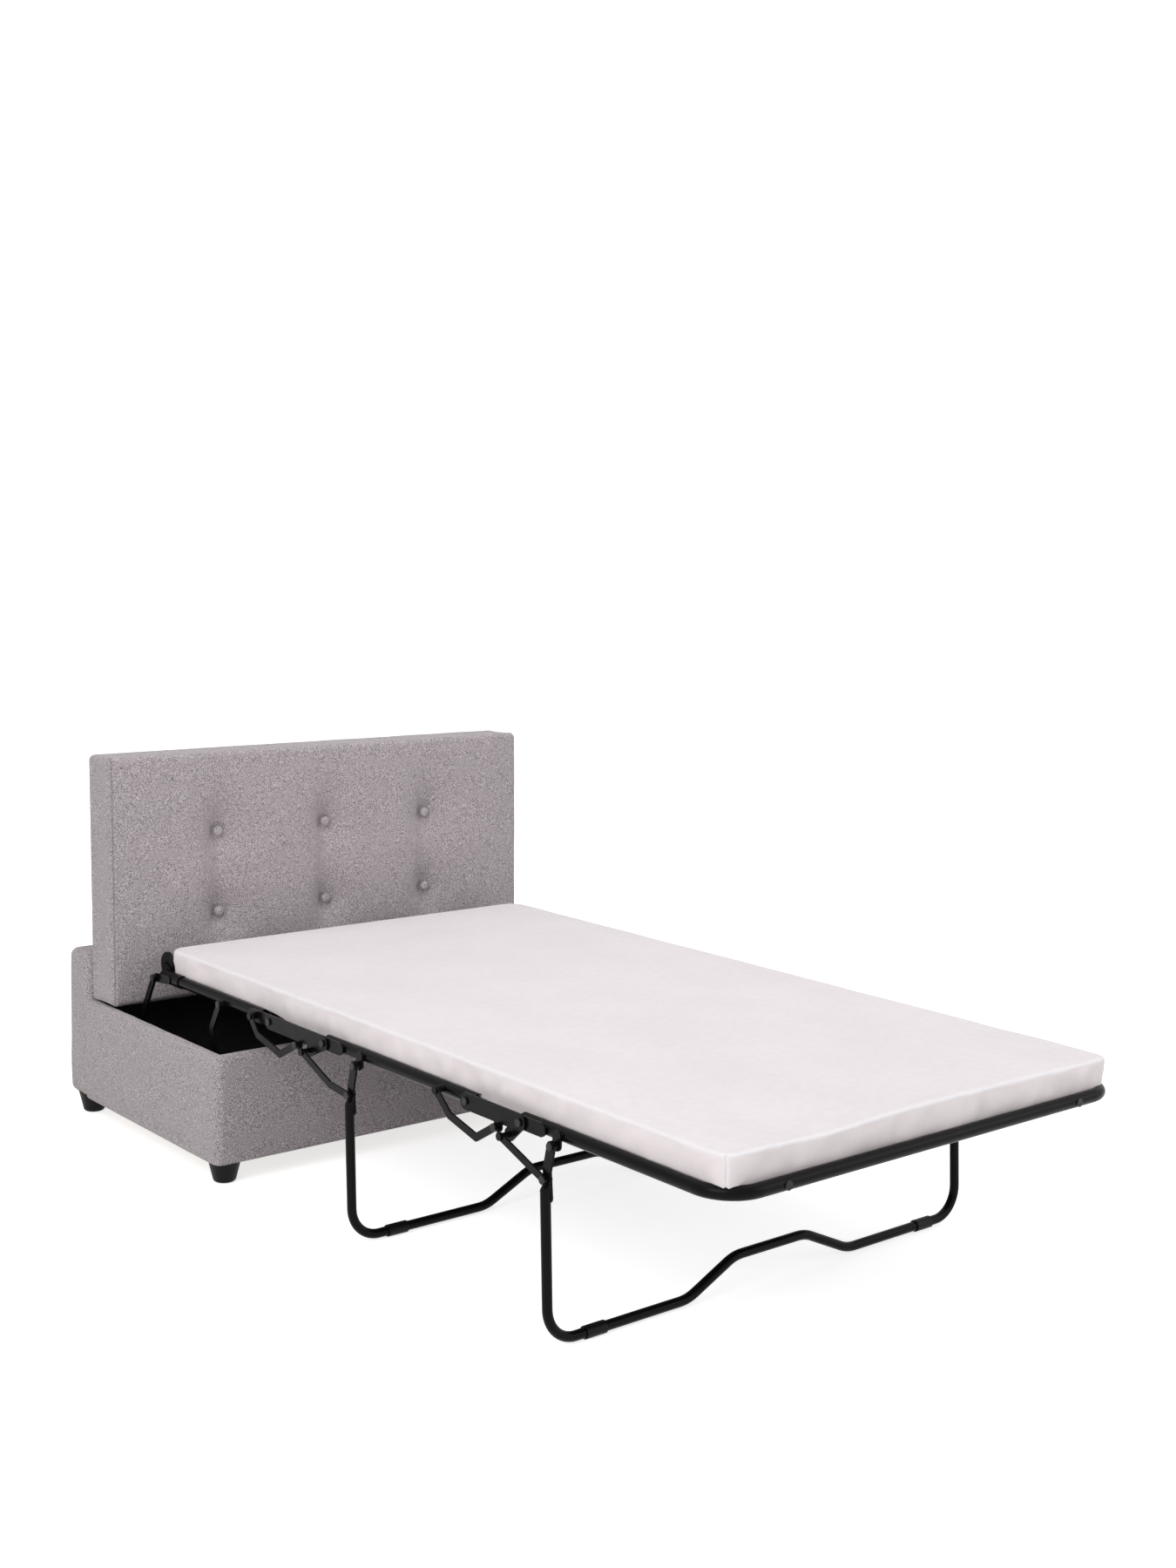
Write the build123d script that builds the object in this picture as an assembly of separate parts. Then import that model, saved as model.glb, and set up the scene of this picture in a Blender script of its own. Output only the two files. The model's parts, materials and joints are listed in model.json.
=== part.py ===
from build123d import *
import math
import os

# An ottoman that opens into a single bed. A padded box holds a tri-fold steel bed frame,
# and its tufted lid stands on the box as a headboard. The frame is shown opened out.
# X runs across, -Y points to the foot of the bed, +Z is up. The origin lies on the floor
# below the middle of the whole opened bed.

# Driving dimensions
base_width = 1200.0
base_depth = 725.0
bed_reach = 1482.5
foot_height = 50.0
rim_height = 288.0
rear_height = 400.0
rear_thickness = 100.0
lid_side_inset = 6.0
lid_height = 588.0
lid_thickness = 123.0
lid_lean = 1.4
mattress_side_inset = 5.0
mattress_length = 1856.0
mattress_thickness = 56.0
frame_height = 378.0
frame_side_inset = 90.0
tube_radius = 12.5
tube_wall = 1.2

# Widths that follow the box
lid_width = base_width - 2 * lid_side_inset
frame_half_width = base_width / 2 - frame_side_inset
mattress_width = 2 * (frame_half_width - mattress_side_inset)

# Distances along the bed between neighbouring pivots, legs and ends
front_arm_set = 110.0
pivot_1_set = 100.0
link_a_head_set = 65.0
plate_a_span = 212.0
mid_span = 490.0
plate_b_span = 160.0
mid_leg_set = 128.0
foot_leg_set = 100.0
head_end_set = 25.0
mattress_head_set = 8.0
rear_arm_set = 14.0
disc_lid_gap = 39.0

# Pins and running clearances
pin_radius = 4.0
pin_clearance = 0.08
pin_head_radius = 7.5
pin_head = 3.0
ear_boss_radius = 5.5
seat_gap = 0.3
dust_cover_thickness = 1.0
disc_radius = 29.0

# Places along the bed
front_y = (bed_reach - base_depth) / 2
back_y = front_y + base_depth
rear_front_y = back_y - rear_thickness
lean_room = (rear_height - rim_height) * math.tan(math.radians(lid_lean))
lid_back_y = rear_front_y - lean_room - dust_cover_thickness - seat_gap
disc_y = lid_back_y - lid_thickness - disc_lid_gap - disc_radius
head_end_y = disc_y - head_end_set
mattress_head_y = head_end_y - mattress_head_set
rear_arm_y = head_end_y + rear_arm_set
front_arm_y = front_y + front_arm_set
pivot_1_y = front_y - pivot_1_set
link_a_head_y = pivot_1_y + link_a_head_set
pivot_2_y = pivot_1_y - plate_a_span
pivot_3_y = pivot_2_y - mid_span
pivot_4_y = pivot_3_y - plate_b_span
mid_leg_y = pivot_2_y - mid_leg_set
foot_leg_y = pivot_4_y - foot_leg_set

# Steel layers outside the tubes, counted outwards from the tubes' outer side
tube_outer_x = frame_half_width + tube_radius
layer_gap = 0.6
strap_standoff = 1.0
strap_inner_x = tube_outer_x + strap_standoff
strap_thickness = 4.0
plate_inner_x = strap_inner_x + strap_thickness + layer_gap
plate_thickness = 4.0
link_inner_x = plate_inner_x + plate_thickness + pin_head + 2 * layer_gap
link_thickness = 4.0
brace_inner_x = link_inner_x + link_thickness + pin_head + 2 * layer_gap
brace_thickness = 4.0

# Box walls
cover_thickness = 8.0
board_thickness = 15.0
lining_thickness = 1.5
floor_board = 12.0
corner_radius = 26.0
rim_radius = 7.0
rear_corner_radius = 22.0
rear_edge_radius = 14.0

# Feet
foot_top_radius = 36.5
foot_bottom_radius = 24.0
foot_side_inset = 42.0
foot_edge_radius = 8.0

# Lid
lid_board_thickness = 15.0
lid_edge_radius = 16.0
lid_crown = 7.0
lid_waist = 3.0
lid_board_inset = 12.0
button_radius = 12.0
button_height = 6.0
button_column_share = 0.255
button_row_shares = (1 / 3, 2 / 3)
tuft_depth = 17.0
tuft_radius = 52.0
crease_depth = 4.0
crease_half_width = 26.0
dust_cover_inset = 14.0

# Mattress
mattress_edge_radius = 9.0
mattress_waist = 4.0
mattress_crown = 6.0
mattress_head_corner = 45.0
mattress_foot_corner = 16.0
fold_a_overlap = 40.0
fold_b_overlap = 35.0

# Frame parts
rail_radius = 8.0
head_rail_inset = 12.0
foot_corner_radius = 70.0
deck_thickness = 2.0
head_deck_sag = 8.0
mid_deck_sag = 12.0
foot_deck_sag = 5.0
deck_edge_inset = 70.0
head_front_rail_inset = 34.0
strap_width = 26.0
strap_reach = 55.0
head_tube_setback = 55.0
tube_end_reach = 12.0
plate_width = 32.0
plate_lobe_radius = 11.0
link_width = 15.0
brace_width = 14.0
arm_width = 16.0
arm_thickness = 6.0
arm_standoff = 1.6
arm_inner_x = strap_inner_x + strap_thickness + arm_standoff

# Leg hoops
hoop_radius = 9.5
hoop_side_step = 35.0
hoop_corner_radius = 62.0
hoop_axis_height = 12.0
hoop_pad_radius = 12.0
hoop_pad_length = 46.0
hoop_pad_inset = 105.0
hoop_rise = 55.0
hoop_ramp_outer_x = 215.0
hoop_ramp_inner_x = 95.0
hoop_bend_radius = 90.0
leg_pivot_drop = 16.0
leg_slant = 3.0
tongue_width = 20.0
tongue_length = 92.0
tongue_thickness = 5.0
hoop_tongue_lap = 15.0
tongue_crank = 10.0
brace_pin_drop = 60.0
brace_pin_offset = 9.0
hoop_half_width = frame_half_width + hoop_side_step
hoop_pad_x = hoop_half_width - hoop_pad_inset
tongue_inner_x = link_inner_x - layer_gap
tongue_outer_x = tongue_inner_x + tongue_thickness + layer_gap

# Hinge offsets, each counted from the pivot that carries it
link_a_plate_offset = (-120.0, -22.0)
ear_a_offset = (55.0, -27.0)
link_b_mid_offset = (84.0, 2.0)
link_b_plate_offset = (62.0, -23.0)
ear_b_offset = (34.0, -31.0)

# Cranks of the links, shares of the straight distance between their ends
link_a_crank_shares = ((0.34, 0.22), (0.84, 0.16))
link_b_crank_shares = ((0.30, 0.22), (0.76, 0.17))
brace_a_crank_shares = ((0.38, 0.07),)
front_arm_bends = ((34.0, -60.0), (15.0, -125.0))
rear_arm_bends = ((71.0, -122.0),)

# Arms stand on studs inside the box
arm_drop = 170.0
arm_set_back = 60.0
bracket_width = 60.0
bracket_height = 80.0
bracket_thickness = 4.0
stud_boss_radius = 10.0
screw_radius = 5.0
screw_head = 2.5
screw_share = 0.35

# Brackets and discs at the head end
head_bracket_length = 86.0
head_bracket_wall = 2.5
disc_thickness = 8.0
disc_rise = 20.0
disc_side_inset = 24.0
disc_ear_width = 14.0
rail_bolt_inset = 125.0
rail_bolt_radius = 8.0
rail_bolt_head = 2.0

disc_inner_x = frame_half_width - disc_side_inset
disc_height = frame_height + disc_rise
rail_bolt_x = frame_half_width - rail_bolt_inset
pivot_1 = (pivot_1_y, frame_height)
pivot_2 = (pivot_2_y, frame_height)
pivot_3 = (pivot_3_y, frame_height)
pivot_4 = (pivot_4_y, frame_height)
leg_pivot_height = frame_height - leg_pivot_drop
mid_leg_pivot = (mid_leg_y, leg_pivot_height)
foot_leg_pivot = (foot_leg_y, leg_pivot_height)
rail_y = front_y - bed_reach + rail_bolt_head + tube_radius
mattress_bottom = frame_height + tube_radius + seat_gap
arm_top_height = frame_height - pin_radius


def shifted(point, offset):
    """A point of the side view, moved by an offset."""
    return (point[0] + offset[0], point[1] + offset[1])


link_a_plate_pin = shifted(pivot_1, link_a_plate_offset)
link_a_head_pin = (link_a_head_y, frame_height)
ear_a_pin = shifted(pivot_2, ear_a_offset)
link_b_mid_pin = shifted(pivot_3, link_b_mid_offset)
link_b_plate_pin = shifted(pivot_4, link_b_plate_offset)
ear_b_pin = shifted(pivot_4, ear_b_offset)
brace_pin_shift = (brace_pin_offset, -brace_pin_drop)
brace_a_low_pin = shifted(mid_leg_pivot, brace_pin_shift)
brace_b_low_pin = shifted(foot_leg_pivot, brace_pin_shift)
rear_arm_top = (rear_arm_y, arm_top_height)
front_arm_top = (front_arm_y, arm_top_height)
rear_arm_low = (rear_arm_y + arm_set_back, arm_top_height - arm_drop)
front_arm_low = (front_arm_y + arm_set_back, arm_top_height - arm_drop)


def across(point, radius, x_from, x_to):
    """Round bar along X between two places, centred on a point of the side view."""
    bar = Cylinder(radius, abs(x_to - x_from))
    return Pos((x_from + x_to) / 2, point[0], point[1]) * Rot(0, 90, 0) * bar


def bored(shape, points, radius=pin_radius + pin_clearance):
    """The shape with a running hole along X at each point of the side view."""
    reach = base_width
    for point in points:
        shape = shape - across(point, radius, -reach, reach)
    return shape


def side_strip(points, width, x_inner, thickness):
    """Flat bar with round ends that follows points of the side view, on the +X side."""
    sketch = None
    for start, end in zip(points, points[1:]):
        run = math.hypot(end[0] - start[0], end[1] - start[1])
        turn = math.degrees(math.atan2(end[1] - start[1], end[0] - start[0]))
        middle = Pos((start[0] + end[0]) / 2, (start[1] + end[1]) / 2)
        strip = middle * Rot(0, 0, turn) * SlotCenterToCenter(run, width)
        sketch = strip if sketch is None else sketch + strip
    return extrude(Plane.YZ.offset(x_inner) * sketch, amount=thickness)


def side_lobe(point, radius, x_inner, thickness):
    """Round plate that stands on a point of the side view, on the +X side."""
    return across(point, radius, x_inner, x_inner + thickness)


def cranked(start, end, crank_shares):
    """Points from start to end; each crank is a share along and a share downwards."""
    run = (end[0] - start[0], end[1] - start[1])
    length = math.hypot(*run)
    middle = []
    for along_share, down_share in crank_shares:
        y = start[0] + run[0] * along_share
        z = start[1] + run[1] * along_share - length * down_share
        middle.append((y, z))
    return [start, *middle, end]


def both_sides(shape):
    """The +X piece and its mirror image, as the right and the left piece."""
    return shape, mirror(shape, about=Plane.YZ)


def pair(shape):
    """The +X solids and their mirror images as one list."""
    right, left = both_sides(shape)
    return [*right.solids(), *left.solids()]


def side_pin(point, x_from, x_to):
    """Riveted pin along X with a head at each end, on the +X side."""
    shank = across(point, pin_radius, x_from, x_to)
    inner = across(point, pin_head_radius, x_from - pin_head, x_from)
    outer = across(point, pin_head_radius, x_to, x_to + pin_head)
    return inner + shank + outer


def tube_along(path):
    """Steel tube with its wall, swept along a path."""
    start = path @ 0
    direction = path % 0
    section = Plane(origin=start, z_dir=direction)
    outer = sweep(section * Circle(tube_radius), path=path)
    inner = sweep(section * Circle(tube_radius - tube_wall), path=path)
    return outer - inner


def straight_tube(start, end, radius=tube_radius):
    """Straight steel tube between two points."""
    path = Line(start, end)
    section = Plane(origin=start, z_dir=path % 0)
    ring = Circle(radius) - Circle(radius - tube_wall)
    return extrude(section * ring, amount=path.length)


def cross_rail(y, radius=rail_radius):
    """Tube across the bed between the inner sides of the side tubes."""
    reach = frame_half_width - tube_radius + tube_wall / 2
    return straight_tube((-reach, y, frame_height), (reach, y, frame_height), radius)


def deck(y_front, y_back, sag):
    """Cloth between the side tubes, hanging in a shallow arc."""
    half = frame_half_width - tube_radius - seat_gap
    top = ThreePointArc(
        (-half, frame_height), (0, frame_height - sag), (half, frame_height)
    )
    low = frame_height - deck_thickness
    bottom = ThreePointArc((half, low), (0, low - sag), (-half, low))
    right = Line((half, frame_height), (half, low))
    left = Line((-half, low), (-half, frame_height))
    face = make_face([*top.edges(), *right.edges(), *bottom.edges(), *left.edges()])
    return extrude(Plane.XZ.offset(-y_back) * face, amount=y_back - y_front)


def base_pieces():
    """The padded box with its raised rear panel, lining, feet and arm brackets."""
    half = base_width / 2
    wall = cover_thickness + board_thickness
    depth = base_depth - rear_thickness
    rise = rim_height - foot_height
    middle = Pos(0, front_y + depth / 2, foot_height + rise / 2)
    outer = middle * Box(base_width, depth, rise)
    outer = fillet(outer.edges().filter_by(Axis.Z).group_by(Axis.Y)[0], corner_radius)
    rim_edges = outer.faces().sort_by(Axis.Z)[-1].edges()
    back_edge = rim_edges.sort_by(Axis.Y)[-1]
    outer = fillet([edge for edge in rim_edges if edge != back_edge], rim_radius)
    core_corner = corner_radius - cover_thickness
    core_width = base_width - 2 * cover_thickness
    core_depth = depth - cover_thickness
    core_rise = rise - cover_thickness
    core_y = rear_front_y - core_depth / 2
    core = Pos(0, core_y, foot_height + core_rise / 2) * Box(core_width, core_depth, core_rise)
    core = fillet(core.edges().filter_by(Axis.Z).group_by(Axis.Y)[0], core_corner)
    well_width = base_width - 2 * wall
    well_depth = depth - wall
    well_y = rear_front_y - well_depth / 2
    well = Pos(0, well_y, foot_height + rise / 2) * Box(well_width, well_depth, rise)
    cover = outer - core - well
    boards = core - well
    side_place = Pos(half + well_width / 2, well_y)
    side_space = side_place * Box(base_width, 2 * base_depth, 2 * rear_height)
    side_space = side_space + mirror(side_space, about=Plane.YZ)
    board_solids = [*(boards & side_space).solids(), *(boards - side_space).solids()]
    floor_z = foot_height + floor_board / 2
    floor = Pos(0, well_y, floor_z) * Box(well_width, well_depth, floor_board)
    lining_rise = rise - floor_board - rim_radius
    lining_z = foot_height + floor_board + lining_rise / 2
    lining = Pos(0, well_y, lining_z) * Box(well_width, well_depth, lining_rise)
    inside_width = well_width - 2 * lining_thickness
    inside_depth = well_depth - 2 * lining_thickness
    inside = Pos(0, well_y, lining_z + lining_thickness)
    lining = lining - inside * Box(inside_width, inside_depth, lining_rise)
    rear_rise = rear_height - foot_height
    rear_middle = Pos(0, back_y - rear_thickness / 2, foot_height + rear_rise / 2)
    rear = rear_middle * Box(base_width, rear_thickness, rear_rise)
    upright_edges = rear.edges().filter_by(Axis.Z).group_by(Axis.Y)
    rear = fillet(upright_edges[-1], rear_corner_radius)
    rear = fillet(rear.faces().sort_by(Axis.Z)[-1].edges(), rear_edge_radius)
    rear_core_rise = rear_rise - cover_thickness
    rear_core_depth = rear_thickness - 2 * cover_thickness
    rear_core_place = Pos(0, back_y - rear_thickness / 2, foot_height + rear_core_rise / 2)
    rear_core = rear_core_place * Box(core_width, rear_core_depth, rear_core_rise)
    rear_core = fillet(rear_core.edges().filter_by(Axis.Z).group_by(Axis.Y)[-1], rear_edge_radius)
    rear_cover = rear - rear_core
    hollow_depth = rear_core_depth - 2 * board_thickness
    hollow_rise = rear_core_rise - 2 * board_thickness
    rear_boards = rear_core - rear_core_place * Box(base_width, hollow_depth, hollow_rise)
    pieces = {
        "box_boards": board_solids,
        "box_cover": cover,
        "base_floor": floor,
        "box_lining": lining,
        "rear_boards": rear_boards,
        "rear_cover": rear_cover,
    }
    pieces.update(foot_pieces())
    pieces.update(arm_bracket_pieces(well_width / 2 - lining_thickness))
    return pieces


def foot_pieces():
    """Four tapered round feet under the corners."""
    solids = []
    foot = Pos(0, 0, foot_height / 2) * Cone(foot_bottom_radius, foot_top_radius, foot_height)
    foot = fillet(foot.edges().sort_by(Axis.Z)[0], foot_edge_radius)
    x_place = base_width / 2 - foot_side_inset
    for x in (-x_place, x_place):
        for y in (front_y + foot_side_inset, back_y - foot_side_inset):
            solids.append(Pos(x, y) * foot)
    return {"feet": solids}


def arm_bracket_pieces(wall_x):
    """Plates on the inner side walls with the studs that the arms turn on."""
    plate_x = wall_x - bracket_thickness
    boss_x = arm_inner_x + arm_thickness + layer_gap
    head_x = arm_inner_x - layer_gap - pin_head
    steel = None
    screws = []
    for low in (rear_arm_low, front_arm_low):
        place = Pos(plate_x + bracket_thickness / 2, low[0], low[1])
        plate = place * Box(bracket_thickness, bracket_width, bracket_height)
        boss = across(low, stud_boss_radius, boss_x, wall_x - bracket_thickness / 2)
        stud = across(low, pin_radius, head_x, boss_x + bracket_thickness)
        head = across(low, pin_head_radius, head_x, head_x + pin_head)
        bracket = plate + boss + stud + head
        steel = bracket if steel is None else steel + bracket
        for side_share in (-screw_share, screw_share):
            spot = shifted(low, (0, bracket_height * side_share))
            screws.append(across(spot, screw_radius, plate_x - screw_head, plate_x))
    right, left = both_sides(steel)
    screw_solids = [*screws, *[mirror(screw, about=Plane.YZ) for screw in screws]]
    return {
        "arm_bracket_right": [*right.solids()],
        "arm_bracket_left": [*left.solids()],
        "bracket_screws": screw_solids,
    }


def lid_pieces():
    """The tufted lid, stood on the box and leaning on the raised rear panel."""
    half = lid_width / 2
    side_front = lid_thickness - lid_crown
    back = Line((-half, 0), (half, 0))
    right = ThreePointArc((half, 0), (half - lid_waist, -side_front / 2), (half, -side_front))
    front = ThreePointArc((half, -side_front), (0, -lid_thickness), (-half, -side_front))
    left = ThreePointArc((-half, -side_front), (lid_waist - half, -side_front / 2), (-half, 0))
    outline = make_face([*back.edges(), *right.edges(), *front.edges(), *left.edges()])
    pad = extrude(outline, amount=lid_height)
    pad = fillet(pad.edges(), lid_edge_radius)
    buttons = []
    dimple = (tuft_radius**2 + tuft_depth**2) / (2 * tuft_depth)
    furrow = (crease_half_width**2 + crease_depth**2) / (2 * crease_depth)
    rows = [lid_height * share for share in button_row_shares]
    for column in (-1, 0, 1):
        x = column * lid_width * button_column_share
        furrow_y = crease_depth - lid_thickness - furrow
        run = rows[1] - rows[0]
        pad = pad - Pos(x, furrow_y, sum(rows) / 2) * Cylinder(furrow, run)
        for z in rows:
            pad = pad - Pos(x, tuft_depth - lid_thickness - dimple, z) * Sphere(dimple)
            seat = Pos(x, tuft_depth - lid_thickness - button_height / 2, z) * Rot(90, 0, 0)
            button = Cylinder(button_radius, button_height)
            button = fillet(button.edges().sort_by(Axis.Z)[-1], button_height / 2)
            buttons.append(seat * button)
    for button in buttons:
        pad = pad - button
    board_width = lid_width - 2 * lid_board_inset
    board_height = lid_height - 2 * lid_board_inset
    board_place = Pos(0, -lid_board_thickness / 2, lid_height / 2)
    board = board_place * Box(board_width, lid_board_thickness, board_height)
    pad = pad - board
    cloth_width = lid_width - 2 * dust_cover_inset
    cloth_height = lid_height - 2 * dust_cover_inset
    cloth_place = Pos(0, dust_cover_thickness / 2, lid_height / 2)
    cloth = cloth_place * Box(cloth_width, dust_cover_thickness, cloth_height)
    place = Pos(0, lid_back_y, rim_height + seat_gap) * Rot(-lid_lean, 0, 0)
    return {
        "lid_board": place * board,
        "lid_pad": place * pad,
        "lid_buttons": [place * button for button in buttons],
        "lid_dust_cover": place * cloth,
    }


def arm_bar(top, low, bends):
    """Cranked swing arm from its top pivot down to its stud, on the +X side."""
    points = [top, *[shifted(top, bend) for bend in bends], low]
    bar = side_strip(points, arm_width, arm_inner_x, arm_thickness)
    return bored(bar, [top, low])


def arm_pieces():
    """Rear and front swing arms."""
    rear_right, rear_left = both_sides(arm_bar(rear_arm_top, rear_arm_low, rear_arm_bends))
    front_right, front_left = both_sides(arm_bar(front_arm_top, front_arm_low, front_arm_bends))
    return {
        "rear_arm_right": rear_right,
        "rear_arm_left": rear_left,
        "front_arm_right": front_right,
        "front_arm_left": front_left,
    }


def weld_block(y, z):
    """Weld filler between a side tube and a plate outside it, on the +X side."""
    inner = tube_outer_x - tube_wall
    outer = strap_inner_x + strap_thickness / 2
    place = Pos((inner + outer) / 2, y, z)
    return place * Box(outer - inner, strap_width, tube_radius)


def boss(point, x_outer):
    """Round shoulder from the side tube's wall outwards, on the +X side."""
    return across(point, pin_head_radius, tube_outer_x - tube_wall, x_outer)


def leg_lug(pivot):
    """Plate that hangs from the side tube and carries a leg pivot, on the +X side."""
    top = (pivot[0], frame_height)
    plate = side_strip([top, pivot], strap_width - pin_radius, strap_inner_x, strap_thickness)
    shoulder_x = link_inner_x - 2 * layer_gap
    shoulder = across(pivot, pin_head_radius, strap_inner_x, shoulder_x)
    return plate + shoulder + weld_block(top[0], top[1])


def notched(cloth, points):
    """The deck cloth with room for the pin heads inside the side tubes."""
    x_outer = frame_half_width - tube_radius
    x_inner = x_outer - pin_head - seat_gap
    for point in points:
        room = across(point, pin_head_radius + seat_gap, x_inner, x_outer)
        cloth = cloth - room - mirror(room, about=Plane.YZ)
    return cloth


def head_pieces():
    """Head section of the frame with its end brackets, discs, deck and pins."""
    front = pivot_1_y + head_tube_setback
    tube_x = frame_half_width
    tube = straight_tube((tube_x, front, frame_height), (tube_x, head_end_y, frame_height))
    strap_end = (front + strap_width, frame_height)
    strap = side_strip([pivot_1, strap_end], strap_width, strap_inner_x, strap_thickness)
    link_boss = boss(link_a_head_pin, link_inner_x - layer_gap)
    arm_boss = boss(front_arm_top, arm_inner_x - layer_gap / 2)
    side = tube + strap + weld_block(front + strap_width, frame_height) + link_boss + arm_boss
    frame = side + mirror(side, about=Plane.YZ)
    frame = frame + cross_rail(head_end_y - head_rail_inset)
    frame = frame + cross_rail(front + head_front_rail_inset)
    frame = bored(frame, [pivot_1, front_arm_top])
    outer = tube_radius + head_bracket_wall
    sleeve_y = head_end_y + head_bracket_wall - head_bracket_length / 2
    sleeve_place = Pos(tube_x, sleeve_y, frame_height) * Rot(90, 0, 0)
    sleeve = sleeve_place * Cylinder(outer, head_bracket_length)
    lug_start = (head_end_y - head_bracket_length / 2, frame_height)
    lug_width = arm_width + pin_radius
    lug = side_strip([lug_start, rear_arm_top], lug_width, strap_inner_x, strap_thickness)
    lug_boss = across(rear_arm_top, pin_head_radius, strap_inner_x, arm_inner_x - layer_gap / 2)
    ear_foot = (head_end_y - tube_radius, frame_height)
    ear_x = disc_inner_x + disc_thickness + seat_gap
    disc_place = (disc_y, disc_height)
    ear = side_strip([ear_foot, disc_place], disc_ear_width, ear_x, strap_thickness)
    bore_radius = tube_radius + pin_clearance
    bore = sleeve_place * Cylinder(bore_radius, 2 * head_bracket_length)
    rail_room = cross_rail_room(head_end_y - head_rail_inset)
    bracket = bored(sleeve + lug + lug_boss + ear - bore - rail_room, [rear_arm_top])
    bracket_right, bracket_left = both_sides(bracket)
    disc = across(disc_place, disc_radius, disc_inner_x, disc_inner_x + disc_thickness)
    disc = chamfer(disc.edges(), layer_gap)
    tube_inner_x = frame_half_width - tube_radius
    arm_outer_x = arm_inner_x + arm_thickness + layer_gap
    arm_pin = side_pin(front_arm_top, tube_inner_x, arm_outer_x)
    rear_pin = side_pin(rear_arm_top, strap_inner_x, arm_outer_x)
    hinge_pin = side_pin(pivot_1, strap_inner_x, plate_inner_x + plate_thickness + layer_gap)
    pins = [*pair(arm_pin), *pair(rear_pin), *pair(hinge_pin)]
    cloth_back = head_end_y - head_bracket_length - layer_gap
    cloth = deck(front + deck_edge_inset, cloth_back, head_deck_sag)
    return {
        "head_frame": frame,
        "head_bracket_right": bracket_right,
        "head_bracket_left": bracket_left,
        "head_discs": pair(disc),
        "head_deck": notched(cloth, [front_arm_top]),
        "head_pins": pins,
    }


def cross_rail_room(y):
    """Space that a cross rail needs where it runs through a bracket."""
    reach = frame_half_width
    return across((y, frame_height), rail_radius + pin_clearance, -reach, reach)


def plate_pieces(name, head_pivot, foot_pivot, lobe_pin):
    """Double-pivot hinge plates, left and right, with the pin on their lobe."""
    body = side_strip([head_pivot, foot_pivot], plate_width, plate_inner_x, plate_thickness)
    on_line = (lobe_pin[0], head_pivot[1])
    ear = side_strip([on_line, lobe_pin], 2 * plate_lobe_radius, plate_inner_x, plate_thickness)
    plate = bored(body + ear, [head_pivot, foot_pivot])
    plate = bored(plate, [lobe_pin], pin_radius)
    pin_outer_x = link_inner_x + link_thickness + layer_gap
    shank = across(lobe_pin, pin_radius, plate_inner_x, pin_outer_x)
    pin = shank + across(lobe_pin, pin_head_radius, pin_outer_x, pin_outer_x + pin_head)
    right, left = both_sides(plate)
    return {
        f"hinge_plate_{name}_right": right,
        f"hinge_plate_{name}_left": left,
        f"plate_{name}_pins": pair(pin),
    }


def link_pieces(name, held, free, crank_shares, x_inner, thickness, width):
    """Cranked flat bars, left and right, bored at the held end and riveted at the free end."""
    bar = side_strip(cranked(held, free, crank_shares), width, x_inner, thickness)
    x_outer = x_inner + thickness
    rivet = across(free, pin_head_radius, x_outer, x_outer + pin_head)
    right, left = both_sides(bored(bar, [held]) + rivet)
    return {f"{name}_right": right, f"{name}_left": left}


def ear_plate(anchor, pivot, pin):
    """Plate welded beside a side tube that reaches past a hinge pivot to a pin."""
    plate = side_strip([anchor, pivot, pin], strap_width, strap_inner_x, strap_thickness)
    return plate + weld_block(anchor[0], anchor[1])


def mid_pieces():
    """Middle section of the frame with its deck and pins."""
    front = pivot_3_y - tube_end_reach
    back = pivot_2_y + tube_end_reach
    tube_x = frame_half_width
    tube = straight_tube((tube_x, back, frame_height), (tube_x, front, frame_height))
    anchor = (pivot_2_y - strap_reach, frame_height)
    side = tube + ear_plate(anchor, pivot_2, ear_a_pin)
    side = side + boss(pivot_3, plate_inner_x - layer_gap)
    side = side + boss(link_b_mid_pin, link_inner_x - layer_gap)
    side = side + leg_lug(mid_leg_pivot)
    side = side + across(ear_a_pin, ear_boss_radius, strap_inner_x, brace_inner_x - layer_gap)
    frame = side + mirror(side, about=Plane.YZ)
    for y in (back - strap_reach, front + strap_reach):
        frame = frame + cross_rail(y)
    frame = bored(frame, [pivot_2, pivot_3, mid_leg_pivot])
    tube_inner_x = frame_half_width - tube_radius
    plate_outer_x = plate_inner_x + plate_thickness + layer_gap
    pins = [
        *pair(side_pin(pivot_2, tube_inner_x, plate_outer_x)),
        *pair(side_pin(pivot_3, tube_inner_x, plate_outer_x)),
        *pair(side_pin(mid_leg_pivot, strap_inner_x, tongue_outer_x)),
    ]
    return {
        "mid_frame": frame,
        "mid_deck": deck(front + deck_edge_inset, back - deck_edge_inset, mid_deck_sag),
        "mid_pins": pins,
    }


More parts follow.
